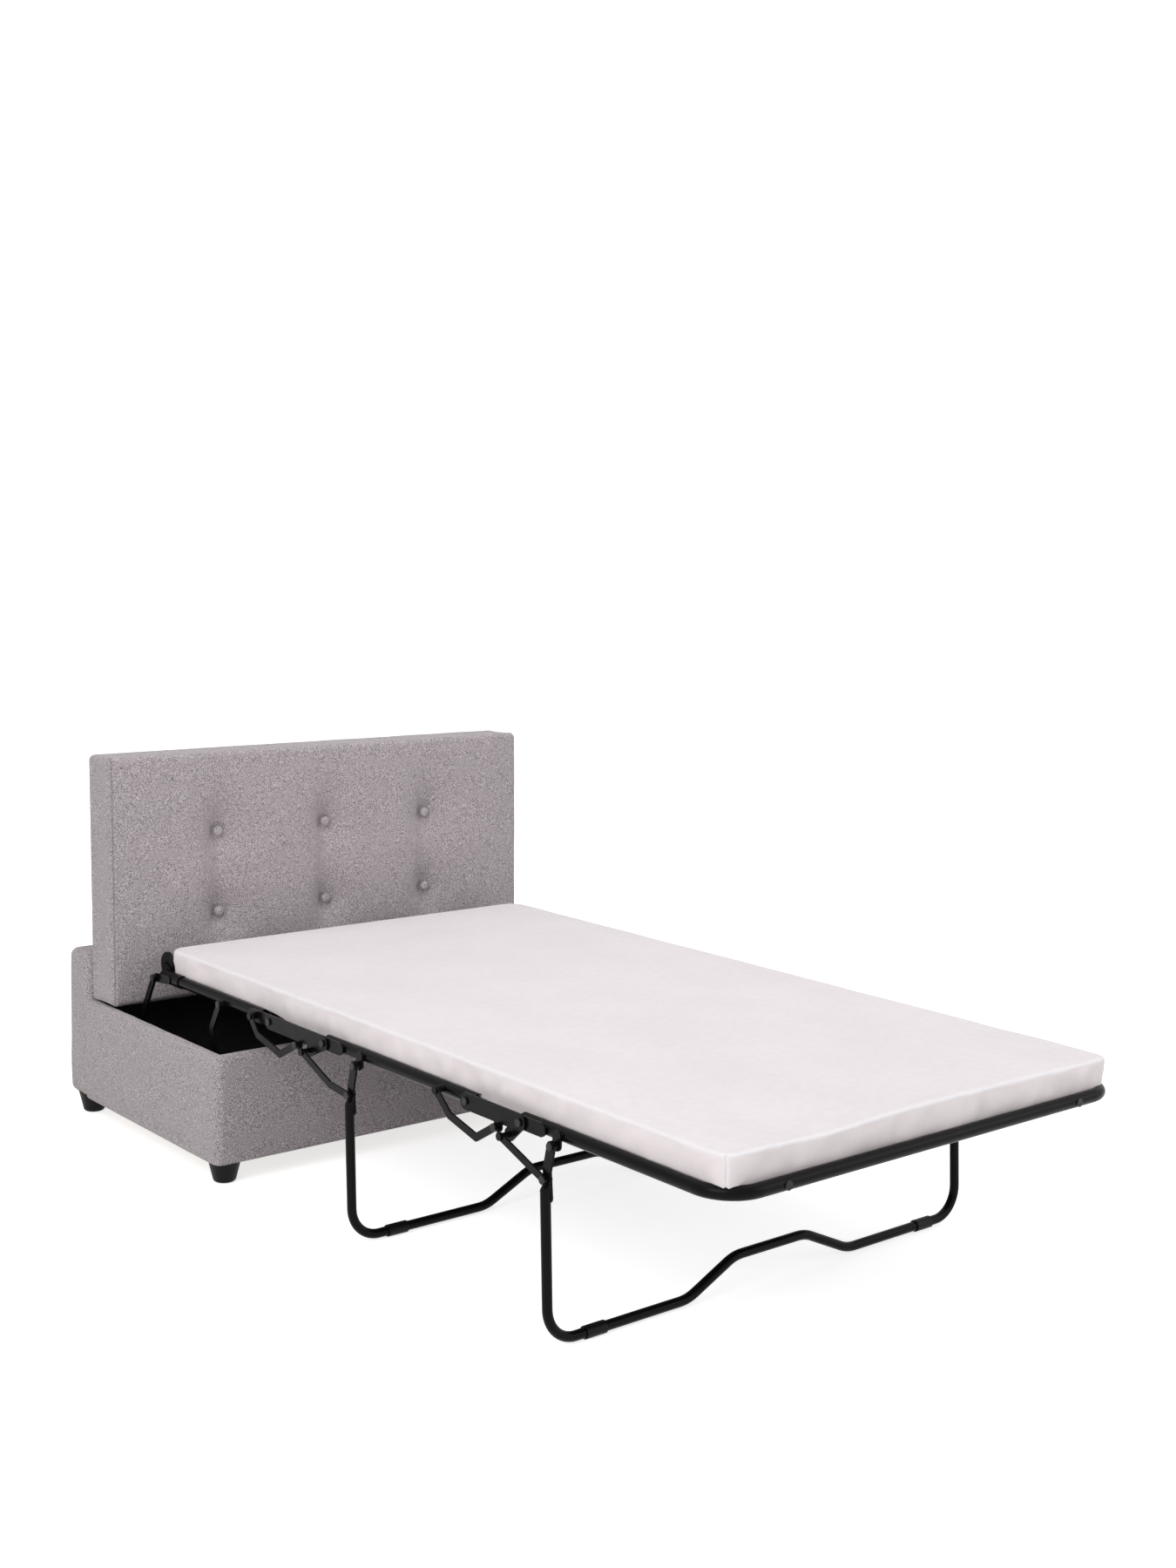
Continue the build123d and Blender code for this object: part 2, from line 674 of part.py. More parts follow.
def foot_section_pieces():
    """Foot section: the U-shaped tube frame with its deck, pins and rail bolts."""
    back = pivot_4_y + tube_end_reach
    tube_x = frame_half_width
    path = FilletPolyline(
        (-tube_x, back, frame_height),
        (-tube_x, rail_y, frame_height),
        (tube_x, rail_y, frame_height),
        (tube_x, back, frame_height),
        radius=[foot_corner_radius, foot_corner_radius],
    )
    anchor = (pivot_4_y - strap_reach, frame_height)
    side = ear_plate(anchor, pivot_4, ear_b_pin) + leg_lug(foot_leg_pivot)
    side = side + across(ear_b_pin, ear_boss_radius, strap_inner_x, brace_inner_x - layer_gap)
    frame = tube_along(path) + side + mirror(side, about=Plane.YZ)
    frame = frame + cross_rail(back - strap_reach)
    frame = bored(frame, [pivot_4, foot_leg_pivot])
    bolts = []
    for x in (-rail_bolt_x, rail_bolt_x):
        place = Pos(x, rail_y - tube_radius - rail_bolt_head / 2, frame_height) * Rot(90, 0, 0)
        bolts.append(place * Cylinder(rail_bolt_radius, rail_bolt_head))
    tube_inner_x = frame_half_width - tube_radius
    plate_outer_x = plate_inner_x + plate_thickness + layer_gap
    pins = [
        *pair(side_pin(pivot_4, tube_inner_x, plate_outer_x)),
        *pair(side_pin(foot_leg_pivot, strap_inner_x, tongue_outer_x)),
    ]
    deck_front = rail_y + foot_corner_radius + layer_gap
    return {
        "foot_frame": frame,
        "foot_deck": deck(deck_front, back - deck_edge_inset, foot_deck_sag),
        "foot_pins": pins,
        "foot_rail_bolts": bolts,
    }


def leg_pieces(name, pivot, brace_pin):
    """U-shaped leg hoop with flattened tops, floor pads and the pins of its braces."""
    slant = math.radians(leg_slant)
    axis_y = pivot[0] + tongue_crank
    drop = (pivot[1] - hoop_axis_height) / math.cos(slant)
    low_y = axis_y - drop * math.sin(slant)
    plane = Plane(
        origin=(0, low_y, hoop_axis_height),
        x_dir=(1, 0, 0),
        z_dir=(0, -math.cos(slant), math.sin(slant)),
    )
    top = drop - tongue_length + hoop_tongue_lap
    outline = [
        (-hoop_half_width, top),
        (-hoop_half_width, 0),
        (-hoop_ramp_outer_x, 0),
        (-hoop_ramp_inner_x, hoop_rise),
        (hoop_ramp_inner_x, hoop_rise),
        (hoop_ramp_outer_x, 0),
        (hoop_half_width, 0),
        (hoop_half_width, top),
    ]
    ramp_bends = [hoop_bend_radius, hoop_bend_radius, hoop_bend_radius, hoop_bend_radius]
    bends = [hoop_corner_radius, *ramp_bends, hoop_corner_radius]
    points = [plane.from_local_coords(Vector(x, y, 0)) for x, y in outline]
    path = FilletPolyline(*points, radius=bends)
    section = Plane(origin=path @ 0, z_dir=path % 0)
    hoop = sweep(section * Circle(hoop_radius), path=path)
    hoop = hoop - sweep(section * Circle(hoop_radius - tube_wall), path=path)
    tongue_x = tongue_inner_x
    tongue_low = (axis_y - tongue_length * math.sin(slant), pivot[1] - tongue_length)
    tongue_points = [pivot, (axis_y, pivot[1] - tongue_length / 2), tongue_low]
    tongue = side_strip(tongue_points, tongue_width, tongue_x, tongue_thickness)
    tongue = tongue + side_lobe(brace_pin, plate_lobe_radius, tongue_x, tongue_thickness)
    shoulder_x = brace_inner_x - layer_gap
    tongue = tongue + across(brace_pin, pin_head_radius, tongue_x, shoulder_x)
    tongue = bored(tongue, [pivot, brace_pin])
    hoop = hoop + tongue + mirror(tongue, about=Plane.YZ)
    pads = []
    for x in (-hoop_pad_x, hoop_pad_x):
        pad = Pos(x, low_y, hoop_axis_height) * Rot(0, 90, 0)
        shell = Cylinder(hoop_pad_radius, hoop_pad_length)
        bore = Cylinder(hoop_radius + pin_clearance, 2 * hoop_pad_length)
        pads.append(pad * (shell - bore))
    pin = side_pin(brace_pin, tongue_x, brace_inner_x + brace_thickness + layer_gap)
    return {
        f"{name}_leg_hoop": hoop,
        f"{name}_leg_pads": pads,
        f"{name}_leg_pins": pair(pin),
    }


def mattress_pieces():
    """Thin mattress with piped edges, in the five lengths that the hinges bend it at."""
    half = mattress_width / 2
    top = mattress_bottom + mattress_thickness
    edge = mattress_edge_radius
    shoulder = top - mattress_crown
    mid_z = (mattress_bottom + shoulder) / 2
    bottom = Line((edge - half, mattress_bottom), (half - edge, mattress_bottom))
    low_right = Line((half - edge, mattress_bottom), (half, mattress_bottom + edge))
    right = ThreePointArc(
        (half, mattress_bottom + edge), (half - mattress_waist, mid_z), (half, shoulder - edge)
    )
    high_right = Line((half, shoulder - edge), (half - edge, shoulder))
    crown = ThreePointArc((half - edge, shoulder), (0, top), (edge - half, shoulder))
    high_left = Line((edge - half, shoulder), (-half, shoulder - edge))
    left = ThreePointArc(
        (-half, shoulder - edge), (mattress_waist - half, mid_z), (-half, mattress_bottom + edge)
    )
    low_left = Line((-half, mattress_bottom + edge), (edge - half, mattress_bottom))
    runs = (bottom, low_right, right, high_right, crown, high_left, left, low_left)
    face = make_face([run.edges()[0] for run in runs])
    foot_y = mattress_head_y - mattress_length
    slab = extrude(Plane.XZ.offset(-mattress_head_y) * face, amount=mattress_length)
    plan_place = Pos(0, (mattress_head_y + foot_y) / 2, mattress_bottom + mattress_thickness / 2)
    plan = plan_place * Box(mattress_width, mattress_length, 2 * mattress_thickness)
    corners = plan.edges().filter_by(Axis.Z).group_by(Axis.Y)
    plan = fillet(corners[-1], mattress_head_corner)
    corners = plan.edges().filter_by(Axis.Z).group_by(Axis.Y)
    plan = fillet(corners[0], mattress_foot_corner)
    slab = slab & plan
    cuts = (
        ("mattress_head", mattress_head_y, pivot_1_y + fold_a_overlap),
        ("mattress_fold_a", pivot_1_y + fold_a_overlap, pivot_2_y - fold_a_overlap),
        ("mattress_mid", pivot_2_y - fold_a_overlap, pivot_3_y + fold_b_overlap),
        ("mattress_fold_b", pivot_3_y + fold_b_overlap, pivot_4_y - fold_b_overlap),
        ("mattress_foot", pivot_4_y - fold_b_overlap, foot_y),
    )
    pieces = {}
    for name, back, front in cuts:
        room_place = Pos(0, (back + front) / 2, mattress_bottom + mattress_thickness / 2)
        room = room_place * Box(2 * mattress_width, back - front, 2 * mattress_thickness)
        pieces[name] = slab & room
    return pieces


def build_pieces():
    """Every node of the bed, by name."""
    link_sizes = (link_inner_x, link_thickness, link_width)
    brace_sizes = (brace_inner_x, brace_thickness, brace_width)
    pieces = {}
    pieces.update(base_pieces())
    pieces.update(lid_pieces())
    pieces.update(arm_pieces())
    pieces.update(head_pieces())
    pieces.update(plate_pieces("a", pivot_1, pivot_2, link_a_plate_pin))
    pieces.update(plate_pieces("b", pivot_3, pivot_4, link_b_plate_pin))
    pieces.update(
        link_pieces("link_a", link_a_plate_pin, link_a_head_pin, link_a_crank_shares, *link_sizes)
    )
    pieces.update(
        link_pieces("link_b", link_b_plate_pin, link_b_mid_pin, link_b_crank_shares, *link_sizes)
    )
    pieces.update(
        link_pieces("brace_a", brace_a_low_pin, ear_a_pin, brace_a_crank_shares, *brace_sizes)
    )
    pieces.update(link_pieces("brace_b", brace_b_low_pin, ear_b_pin, (), *brace_sizes))
    pieces.update(mid_pieces())
    pieces.update(foot_section_pieces())
    pieces.update(leg_pieces("mid", mid_leg_pivot, brace_a_low_pin))
    pieces.update(leg_pieces("foot", foot_leg_pivot, brace_b_low_pin))
    pieces.update(mattress_pieces())
    return pieces


def main():
    """Write one STEP file for each node."""
    os.makedirs("parts", exist_ok=True)
    for name, shape in build_pieces().items():
        solids = shape if isinstance(shape, list) else [*shape.solids()]
        whole = solids[0] if len(solids) == 1 else Compound(children=solids)
        export_step(whole, f"parts/{name}.step")


if __name__ == "__main__":
    main()
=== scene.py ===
import json
import math

import bmesh
import bpy
from bpy.props import FloatProperty, FloatVectorProperty, PointerProperty
from bpy.types import Operator, Panel, PropertyGroup
from mathutils import Matrix, Vector, noise
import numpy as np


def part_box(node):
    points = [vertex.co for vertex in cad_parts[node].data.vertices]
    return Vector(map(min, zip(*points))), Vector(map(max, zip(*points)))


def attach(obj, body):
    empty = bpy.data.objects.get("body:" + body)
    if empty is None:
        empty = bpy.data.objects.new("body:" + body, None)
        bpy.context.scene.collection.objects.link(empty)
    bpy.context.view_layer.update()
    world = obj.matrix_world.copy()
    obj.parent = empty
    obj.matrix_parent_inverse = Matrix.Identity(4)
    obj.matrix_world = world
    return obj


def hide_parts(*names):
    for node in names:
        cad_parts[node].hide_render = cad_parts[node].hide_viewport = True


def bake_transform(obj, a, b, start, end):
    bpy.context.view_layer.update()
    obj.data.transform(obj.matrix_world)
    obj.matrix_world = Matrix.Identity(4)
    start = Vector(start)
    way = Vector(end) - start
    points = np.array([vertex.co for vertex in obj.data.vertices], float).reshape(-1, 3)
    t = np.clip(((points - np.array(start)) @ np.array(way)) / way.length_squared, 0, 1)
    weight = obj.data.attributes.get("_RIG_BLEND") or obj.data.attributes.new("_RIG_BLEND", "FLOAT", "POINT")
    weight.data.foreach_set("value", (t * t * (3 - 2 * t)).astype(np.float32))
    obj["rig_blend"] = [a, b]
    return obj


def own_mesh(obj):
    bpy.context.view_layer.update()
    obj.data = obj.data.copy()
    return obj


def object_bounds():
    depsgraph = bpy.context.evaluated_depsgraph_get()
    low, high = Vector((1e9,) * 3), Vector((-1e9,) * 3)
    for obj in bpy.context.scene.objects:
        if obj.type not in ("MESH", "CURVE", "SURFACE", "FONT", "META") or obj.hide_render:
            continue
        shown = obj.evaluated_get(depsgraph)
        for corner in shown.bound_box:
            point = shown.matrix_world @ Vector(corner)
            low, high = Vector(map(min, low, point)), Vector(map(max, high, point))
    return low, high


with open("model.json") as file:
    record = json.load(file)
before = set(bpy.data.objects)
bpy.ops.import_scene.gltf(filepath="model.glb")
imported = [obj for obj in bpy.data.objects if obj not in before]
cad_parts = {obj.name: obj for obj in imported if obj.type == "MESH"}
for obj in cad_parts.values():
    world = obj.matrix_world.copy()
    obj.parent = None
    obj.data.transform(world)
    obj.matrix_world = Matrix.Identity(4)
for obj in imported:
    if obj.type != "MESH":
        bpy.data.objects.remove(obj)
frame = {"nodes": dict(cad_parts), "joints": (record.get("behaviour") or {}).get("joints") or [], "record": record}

bl_info = {
    "name": "Ottoman bed dressing",
    "version": (1, 0, 0),
    "blender": (4, 5, 0),
    "location": "View3D > Sidebar > Ottoman bed",
    "description": "Covers, mattress, cloths and finishes for a fold-out ottoman bed",
    "category": "Object",
}

white = (1.0, 1.0, 1.0)

# Place, width and power of each lamp
lamps = {
    "key_lamp": ((-5.0, -2.4, 4.2), 3.6, 170.0),
    "fill_lamp": ((2.6, -3.4, 2.2), 2.6, 32.0),
    "top_lamp": ((0.2, 0.2, 3.6), 3.4, 32.0),
}

# Distance between the mesh lines of the linings
lining_step = 0.03

# Rises and dips of the mattress along its foot: height, place across and reach, in metres
foot_waves = ((-0.0050, -0.27, 0.11), (0.0022, 0.02, 0.20), (-0.0022, 0.40, 0.07))

# The CAD box, measured before anything is added to it
cad_box = [list(corner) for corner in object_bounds()]

joint_of = {joint["name"]: joint for joint in frame["joints"]}
fold_places = [
    joint_of[name]["pos_m"][1]
    for name in ("plate_a_fold", "mid_fold", "plate_b_fold", "foot_fold")
]


def display(red, green, blue):
    """A colour given as it shows on a screen, 0 to 255, in the linear values that shaders use."""
    def linear(value):
        level = value / 255
        return level / 12.92 if level <= 0.04045 else ((level + 0.055) / 1.055) ** 2.4
    return (linear(red), linear(green), linear(blue))


def setting(default, description, **kind):
    """A number, a place or a colour that a user may change."""
    make = FloatVectorProperty if isinstance(default, tuple) else FloatProperty
    return make(default=default, description=description, **kind)


def size(default, description):
    """A length."""
    return setting(default, description, unit="LENGTH", precision=4)


def degrees(default, description):
    """An angle, written in degrees."""
    return setting(math.radians(default), description, subtype="ANGLE")


def fraction(default, description):
    """A part of a whole."""
    return setting(default, description, min=0.0, max=1.0)


def colour(default, description):
    """The colour of a surface."""
    return setting(default, description, subtype="COLOR", min=0.0, max=1.0)


class StageSettings(PropertyGroup):
    """Camera, floor and lamps."""
    camera_place: setting(
        (-2.5573, -3.18085, 1.4076), "Where the picture was taken from", subtype="TRANSLATION"
    )
    heading: degrees(39.721, "Turn of the view from the bed's length towards its right side")
    pitch: degrees(-6.01, "Tilt of the view, downwards when below zero")
    roll: degrees(1.092, "Lean of the picture")
    picture_width: setting(1350, "Width of the whole picture")
    picture_height: setting(1800, "Height of the whole picture")
    focal_pixels: setting(2201.3, "Focal length in pixels of the picture")
    centre_x: setting(670.5, "Pixel that the lens points at, across")
    centre_y: setting(847.9, "Pixel that the lens points at, down")
    aim_height: size(0.35, "Height that the lamps face, above the middle of the bed")
    ambient: fraction(0.53, "Light that the white surround gives, where 1 is white")
    floor_glow: fraction(0.72, "How much of the floor's white is shown whatever the light")


class Finishes(PropertyGroup):
    """Colours of the cloths, plastics and metals."""
    cover_light: colour(display(212, 203, 206), "Light threads of the grey cover")
    cover_dark: colour(display(138, 131, 134), "Dark threads of the grey cover")
    sheet_pale: colour(display(237, 230, 232), "Mattress cover where it lies flat")
    sheet_side: colour(display(238, 229, 230), "Mattress cover along the sides")
    # Paler seam tone: doubled cloth, with a painted highlight on the rounded edges
    sheet_seam_and_highlight: colour(display(247, 245, 249), "Doubled cloth along the mattress seams")
    lining: colour(display(34, 33, 34), "Black cloth inside the box and under the mattress")
    paint: colour(display(11, 10, 10), "Satin black paint of the steel frame")
    rivet: colour(display(36, 35, 36), "Darkened steel of pins and screws")
    plastic: colour(display(13, 12, 13), "Black plastic of the feet and pads")
    board: colour(display(176, 144, 104), "Bare board under the covers")


class LidSizes(PropertyGroup):
    """The tufted lid that stands as a headboard."""
    height: size(0.588, "From its lower to its upper edge")
    thickness: size(0.123, "From its back to the front of the padding")
    edge: size(0.014, "Rounding of the padded edges")
    piping: size(0.006, "From the side to the sewn line on the front")
    lean: degrees(1.4, "How far the lid leans back on the rear panel")
    crown: size(0.007, "How much thicker the padding is in the middle")
    column_gap: size(0.303, "Between neighbouring columns of buttons")
    row_gap: size(0.196, "Between the two rows of buttons")
    dimple: size(0.017, "How far a button pulls the padding in")
    dimple_reach: size(0.030, "Half width of the steep part of a dimple")
    pull: size(0.012, "Depth of the wide hollow round a button")
    pull_reach: size(0.080, "Half width of the wide hollow")
    crease: size(0.019, "Depth of the soft valley along each column")
    crease_reach: size(0.034, "Half width of that valley")
    button_radius: size(0.0122, "Radius of a covered button")
    button_sink: size(0.0215, "How far a button's crown lies behind the front")


class BoxSizes(PropertyGroup):
    """The padded box and its raised rear panel."""
    corner: size(0.019, "Rounding of the upright front corners")
    rim: size(0.009, "Rounding over the top of the walls")
    wall: size(0.023, "Thickness of a covered wall")
    bulge: size(0.0025, "How far the padding stands out between the edges")
    pucker: size(0.0009, "Height of the small folds in the cover")
    hem: size(0.0016, "How far the lower edge of the covers hangs below the boards")
    rear_edge: size(0.018, "Rounding of the rear panel")


class MattressSizes(PropertyGroup):
    """The thin mattress in its pale cover."""
    edge: size(0.010, "Rounding along the seams")
    head_corner: size(0.036, "Rounding of the two corners at the head")
    foot_corner: size(0.024, "Rounding of the two corners at the foot")
    crown: size(0.004, "How much thicker it is in the middle")
    tuck_in: size(0.0020, "How far the lower edge lies inside the outline, within the tubes")
    tuck_drop: size(0.0090, "How far the lower edge sags behind the foot rail")
    side_share: fraction(0.7, "Share of that sag which the lower edge has along the side tubes")
    seam: size(0.0016, "How far the sewn seams stand out")
    wrinkle: size(0.0050, "Height of the folds along the sides")
    sag: size(0.011, "How far the mattress hangs between the tubes at a hinge")
    bend_reach: size(0.078, "Half length of the stretch that bends at a hinge")
    head_reach: size(0.052, "How far the first hinge's stretch runs under the head")
    folded_share: fraction(0.45, "Share of its thickness that is left when folded")


class NeckSizes(PropertyGroup):
    """The flattened tops of the round legs."""
    radius: size(0.0095, "Radius of the leg tube")
    length: size(0.010, "From the end of the round tube to the flat tongue")
    lap: size(0.004, "How far a neck reaches down over the tube")
    flat_half_width: size(0.0104, "Half the width at the tongue")
    flat_half_thickness: size(0.0036, "Half the thickness at the tongue")
    shift: size(0.0068, "How far the tongue lies inwards of the tube's middle")
    slant: size(0.002, "How far the tongue leans along the bed over the neck")


class ClothSizes(PropertyGroup):
    """The black cloths that hang in the frame."""
    thickness: size(0.0014, "Thickness of the cloth")
    ripple: size(0.0012, "Height of the small ripples")
    step: size(0.022, "Distance between mesh lines")


def set_inputs(made, levels):
    """Set the inputs of a shader node, each named with underscores for spaces."""
    for label, value in levels.items():
        made.inputs[label.replace("_", " ")].default_value = value
    return made


def blank_material(name, **levels):
    """A material with some of its shader's levels set, and its node tree to add to."""
    material = bpy.data.materials.new(name)
    material.use_nodes = True
    set_inputs(material.node_tree.nodes["Principled BSDF"], levels)
    return material, material.node_tree


def node(tree, kind, **levels):
    """A new shader node with some of its inputs set."""
    return set_inputs(tree.nodes.new(kind), levels)


def feed(tree, socket, value):
    """Give a socket the value of another socket, a number or a plain colour."""
    if isinstance(value, bpy.types.NodeSocket):
        tree.links.new(value, socket)
    else:
        socket.default_value = value if isinstance(value, float) else (*value, 1.0)


def reckoned(tree, operation, first, second):
    """A sum, product or the greater of two values."""
    made = tree.nodes.new("ShaderNodeMath")
    made.operation = operation
    feed(tree, made.inputs[0], first)
    feed(tree, made.inputs[1], second)
    return made.outputs["Value"]


def attribute(tree, name):
    """A value that the mesh keeps at each of its points."""
    made = tree.nodes.new("ShaderNodeAttribute")
    made.attribute_name = name
    return made.outputs["Fac"]


def shades(tree, source, stops):
    """Colours laid along a value between 0 and 1."""
    ramp = tree.nodes.new("ShaderNodeValToRGB")
    band = ramp.color_ramp
    while len(band.elements) < len(stops):
        band.elements.new(0.5)
    for element, (spot, tone) in zip(band.elements, stops):
        element.position = spot
        element.color = (*tone, 1.0)
    tree.links.new(source, ramp.inputs["Fac"])
    return ramp.outputs["Color"]


def grain(tree, scale, detail=2.0, roughness=0.5):
    """Soft noise that stays with the piece."""
    coordinates = tree.nodes.new("ShaderNodeTexCoord")
    made = node(tree, "ShaderNodeTexNoise", Scale=scale, Detail=detail, Roughness=roughness)
    tree.links.new(coordinates.outputs["Object"], made.inputs["Vector"])
    return made.outputs["Fac"]


def mottled(tree, tone, scale, detail, low, high, roughness=0.5):
    """A tone in soft patches; low and high are each a place of the noise and a share of the tone."""
    stops = [(spot, scaled(tone, part)) for spot, part in (low, high)]
    return shades(tree, grain(tree, scale, detail, roughness), stops)


def threads(tree, scale):
    """Crossing ridges, one set along each axis, as a value."""
    coordinates = tree.nodes.new("ShaderNodeTexCoord")
    ridges = []
    for direction in ("X", "Y", "Z"):
        wave = node(tree, "ShaderNodeTexWave", Scale=scale, Distortion=1.2, Detail=1.0)
        wave.bands_direction = direction
        tree.links.new(coordinates.outputs["Object"], wave.inputs["Vector"])
        ridges.append(wave.outputs["Fac"])
    return reckoned(tree, "ADD", reckoned(tree, "ADD", ridges[0], ridges[1]), ridges[2])


def finished(material, tone, *reliefs):
    """The material given its colour, and reliefs that are each a height, its depth and strength."""
    tree = material.node_tree
    shader = tree.nodes["Principled BSDF"]
    tree.links.new(tone, shader.inputs["Base Color"])
    known = shader.inputs["Normal"]
    for height, depth, strength in reliefs:
        bump = node(tree, "ShaderNodeBump", Distance=depth, Strength=strength)
        tree.links.new(height, bump.inputs["Height"])
        if known.is_linked:
            tree.links.new(known.links[0].from_socket, bump.inputs["Normal"])
        tree.links.new(bump.outputs["Normal"], known)
    return material


def blended(tree, amount, first, second, mode="MIX"):
    """Two colours mixed."""
    mix = tree.nodes.new("ShaderNodeMix")
    mix.data_type = "RGBA"
    mix.blend_type = mode
    sockets = {socket.identifier: socket for socket in (*mix.inputs, *mix.outputs)}
    feed(tree, sockets["Factor_Float"], amount)
    feed(tree, sockets["A_Color"], first)
    feed(tree, sockets["B_Color"], second)
    return sockets["Result_Color"]


def scaled(tone, part):
    """A colour made darker or lighter."""
    return tuple(min(1.0, channel * part) for channel in tone)


def woven_cover(name, light, dark):
    """Grey woven cover: mixed light and dark threads, fine relief, soft fuzz, and painted shade where the seam
    mark lies.
    """
    material, tree = blank_material(
        name, Roughness=0.92, Sheen_Weight=0.25, Sheen_Roughness=0.5, Specular_IOR_Level=0.2
    )
    middle = tuple((a + b) / 2 for a, b in zip(light, dark))
    stops = ((0.42, dark), (0.50, middle), (0.58, light))
    speckle = shades(tree, grain(tree, scale=520.0, detail=1.0, roughness=0.6), stops)
    stops = ((0.38, (0.50, 0.49, 0.50)), (0.54, white))
    flecks = shades(tree, grain(tree, scale=300.0, detail=1.0), stops)
    stops = ((0.30, (0.97, 0.97, 0.975)), (0.70, (1.0, 0.99, 0.99)))
    patches = shades(tree, grain(tree, scale=7.0, detail=3.0), stops)
    tone = blended(tree, 0.55, speckle, flecks, "MULTIPLY")
    tone = blended(tree, 1.0, tone, patches, "MULTIPLY")
    # Painted shade: the seam mark darkens the stitched groove on the lid's front and the ring round each button's
    # rim
    tone = blended(tree, attribute(tree, "seam"), tone, scaled(dark, 0.62))
    fuzz = grain(tree, scale=420.0, detail=3.0, roughness=0.7)
    return finished(
        material, tone,
        (threads(tree, scale=210.0), 0.0005, 0.35),
        (fuzz, 0.0006, 0.45),
    )


def mattress_cloth(name, pale, side_tone, seam_and_highlight_tone):
    """Smooth pale cover, a little crumpled, paler along the seams: doubled cloth there, with a painted highlight
    on the rounded edges.
    """
    material, tree = blank_material(
        name, Roughness=0.72, Sheen_Weight=0.12, Specular_IOR_Level=0.3
    )
    clouds = mottled(tree, pale, scale=5.0, detail=3.0, low=(0.30, 0.955), high=(0.70, 1.0))
    stops = ((0.35, (0.975, 0.97, 0.97)), (0.62, white))
    tone = blended(tree, 1.0, clouds, shades(tree, grain(tree, scale=60.0), stops), "MULTIPLY")
    patches = mottled(tree, side_tone, scale=11.0, detail=3.0, low=(0.35, 0.93), high=(0.65, 1.03))
    tone = blended(tree, attribute(tree, "skirt"), tone, patches)
    # Paler along the seams: doubled cloth with a painted highlight on the rounded edges
    tone = blended(tree, attribute(tree, "seam"), tone, seam_and_highlight_tone)
    crumples = grain(tree, scale=18.0, detail=4.0, roughness=0.55)
    return finished(
        material, tone,
        (threads(tree, scale=420.0), 0.0002, 0.2),
        (crumples, 0.0030, 0.35),
    )


def black_cloth(name, tone):
    """Thin black cloth with a coarse weave."""
    material, tree = blank_material(name, Roughness=0.95, Sheen_Weight=0.1)
    weave = mottled(tree, tone, scale=160.0, detail=2.0, low=(0.35, 0.7), high=(0.65, 1.3))
    return finished(material, weave, (threads(tree, scale=260.0), 0.0005, 0.5))


def satin_paint(name, tone):
    """Black paint baked on steel tube, with faint orange peel and rubbed spots."""
    material, tree = blank_material(name, Roughness=0.42, Specular_IOR_Level=0.085)
    rubbed = mottled(tree, tone, scale=9.0, detail=4.0, low=(0.55, 1.0), high=(0.80, 1.5))
    gloss = mottled(tree, white, scale=30.0, detail=3.0, low=(0.30, 0.25), high=(0.75, 0.36))
    tree.links.new(gloss, tree.nodes["Principled BSDF"].inputs["Roughness"])
    return finished(material, rubbed, (grain(tree, scale=380.0), 0.0002, 0.25))


def dark_steel(name, tone):
    """Darkened steel of rivets, pins and screws."""
    material, tree = blank_material(
        name, Roughness=0.42, Metallic=0.25, Specular_IOR_Level=0.25
    )
    spots = mottled(tree, tone, scale=90.0, detail=3.0, low=(0.35, 0.6), high=(0.70, 1.6))
    return finished(material, spots, (grain(tree, scale=500.0), 0.0002, 0.3))


def moulded_plastic(name, tone):
    """Black moulded plastic with a fine spark texture."""
    material, tree = blank_material(name, Roughness=0.45, Specular_IOR_Level=0.15)
    uneven = mottled(tree, tone, scale=40.0, detail=2.0, low=(0.30, 0.85), high=(0.70, 1.2))
    return finished(material, uneven, (grain(tree, scale=900.0, detail=1.0), 0.0001, 0.35))


def bare_board(name, tone):
    """Chipboard with its flakes."""
    material, tree = blank_material(name, Roughness=0.8)
    flakes = mottled(
        tree, tone, scale=85.0, detail=4.0, low=(0.35, 0.7), high=(0.65, 1.15), roughness=0.7
    )
    return finished(material, flakes, (grain(tree, scale=200.0, detail=3.0), 0.0003, 0.4))


def finish_for(slot):
    """The material of one of the record's slots, made once."""
    name = f"{slot}_finish"
    known = bpy.data.materials.get(name)
    if known:
        return known
    tones = bpy.context.scene.bed_finishes
    light = tones.cover_light
    dark = tones.cover_dark
    maker, *colours = {
        "grey_fabric": (woven_cover, light, dark),
        # The buttons wear the cover's threads 8% lighter: painted light on their faces
        "button_fabric": (woven_cover, scaled(light, 1.08), scaled(dark, 1.08)),
        "mattress_cover": (mattress_cloth, tones.sheet_pale, tones.sheet_side, tones.sheet_seam_and_highlight),
        "black_cloth": (black_cloth, tones.lining),
        "frame_steel": (satin_paint, tones.paint),
        "pin_steel": (dark_steel, tones.rivet),
        "foot_plastic": (moulded_plastic, tones.plastic),
        "trim_plastic": (moulded_plastic, tones.plastic),
        "board_wood": (bare_board, tones.board),
    }[slot]
    return maker(name, *colours)


def divided(start, end, count):
    """Places from start to end, in a number of even steps."""
    return [start + (end - start) * i / count for i in range(count + 1)]


def even(start, end, step):
    """Places from start to end, about one step from each other."""
    return divided(start, end, max(1, round((end - start) / step)))


def spread(start, end, step, radius, turns=5):
    """Places from start to end, closer together over the rounded ends."""
    low = [start + radius - radius * math.tan(math.pi / 4 * (1 - i / turns)) for i in range(turns)]
    high = [start + end - spot for spot in reversed(low)]
    return low + even(start + radius, end - radius, step) + high


def eased(amount):
    """A value from 0 to 1 with a soft start and end."""
    return amount * amount * (3 - 2 * amount)


def new_skin():
    """An empty skin whose points can mark a seam, which the grey cover paints as shade and the mattress cover as a
    paler band with painted highlight.
    """
    skin = bmesh.new()
    skin.verts.layers.float.new("seam")
    return skin


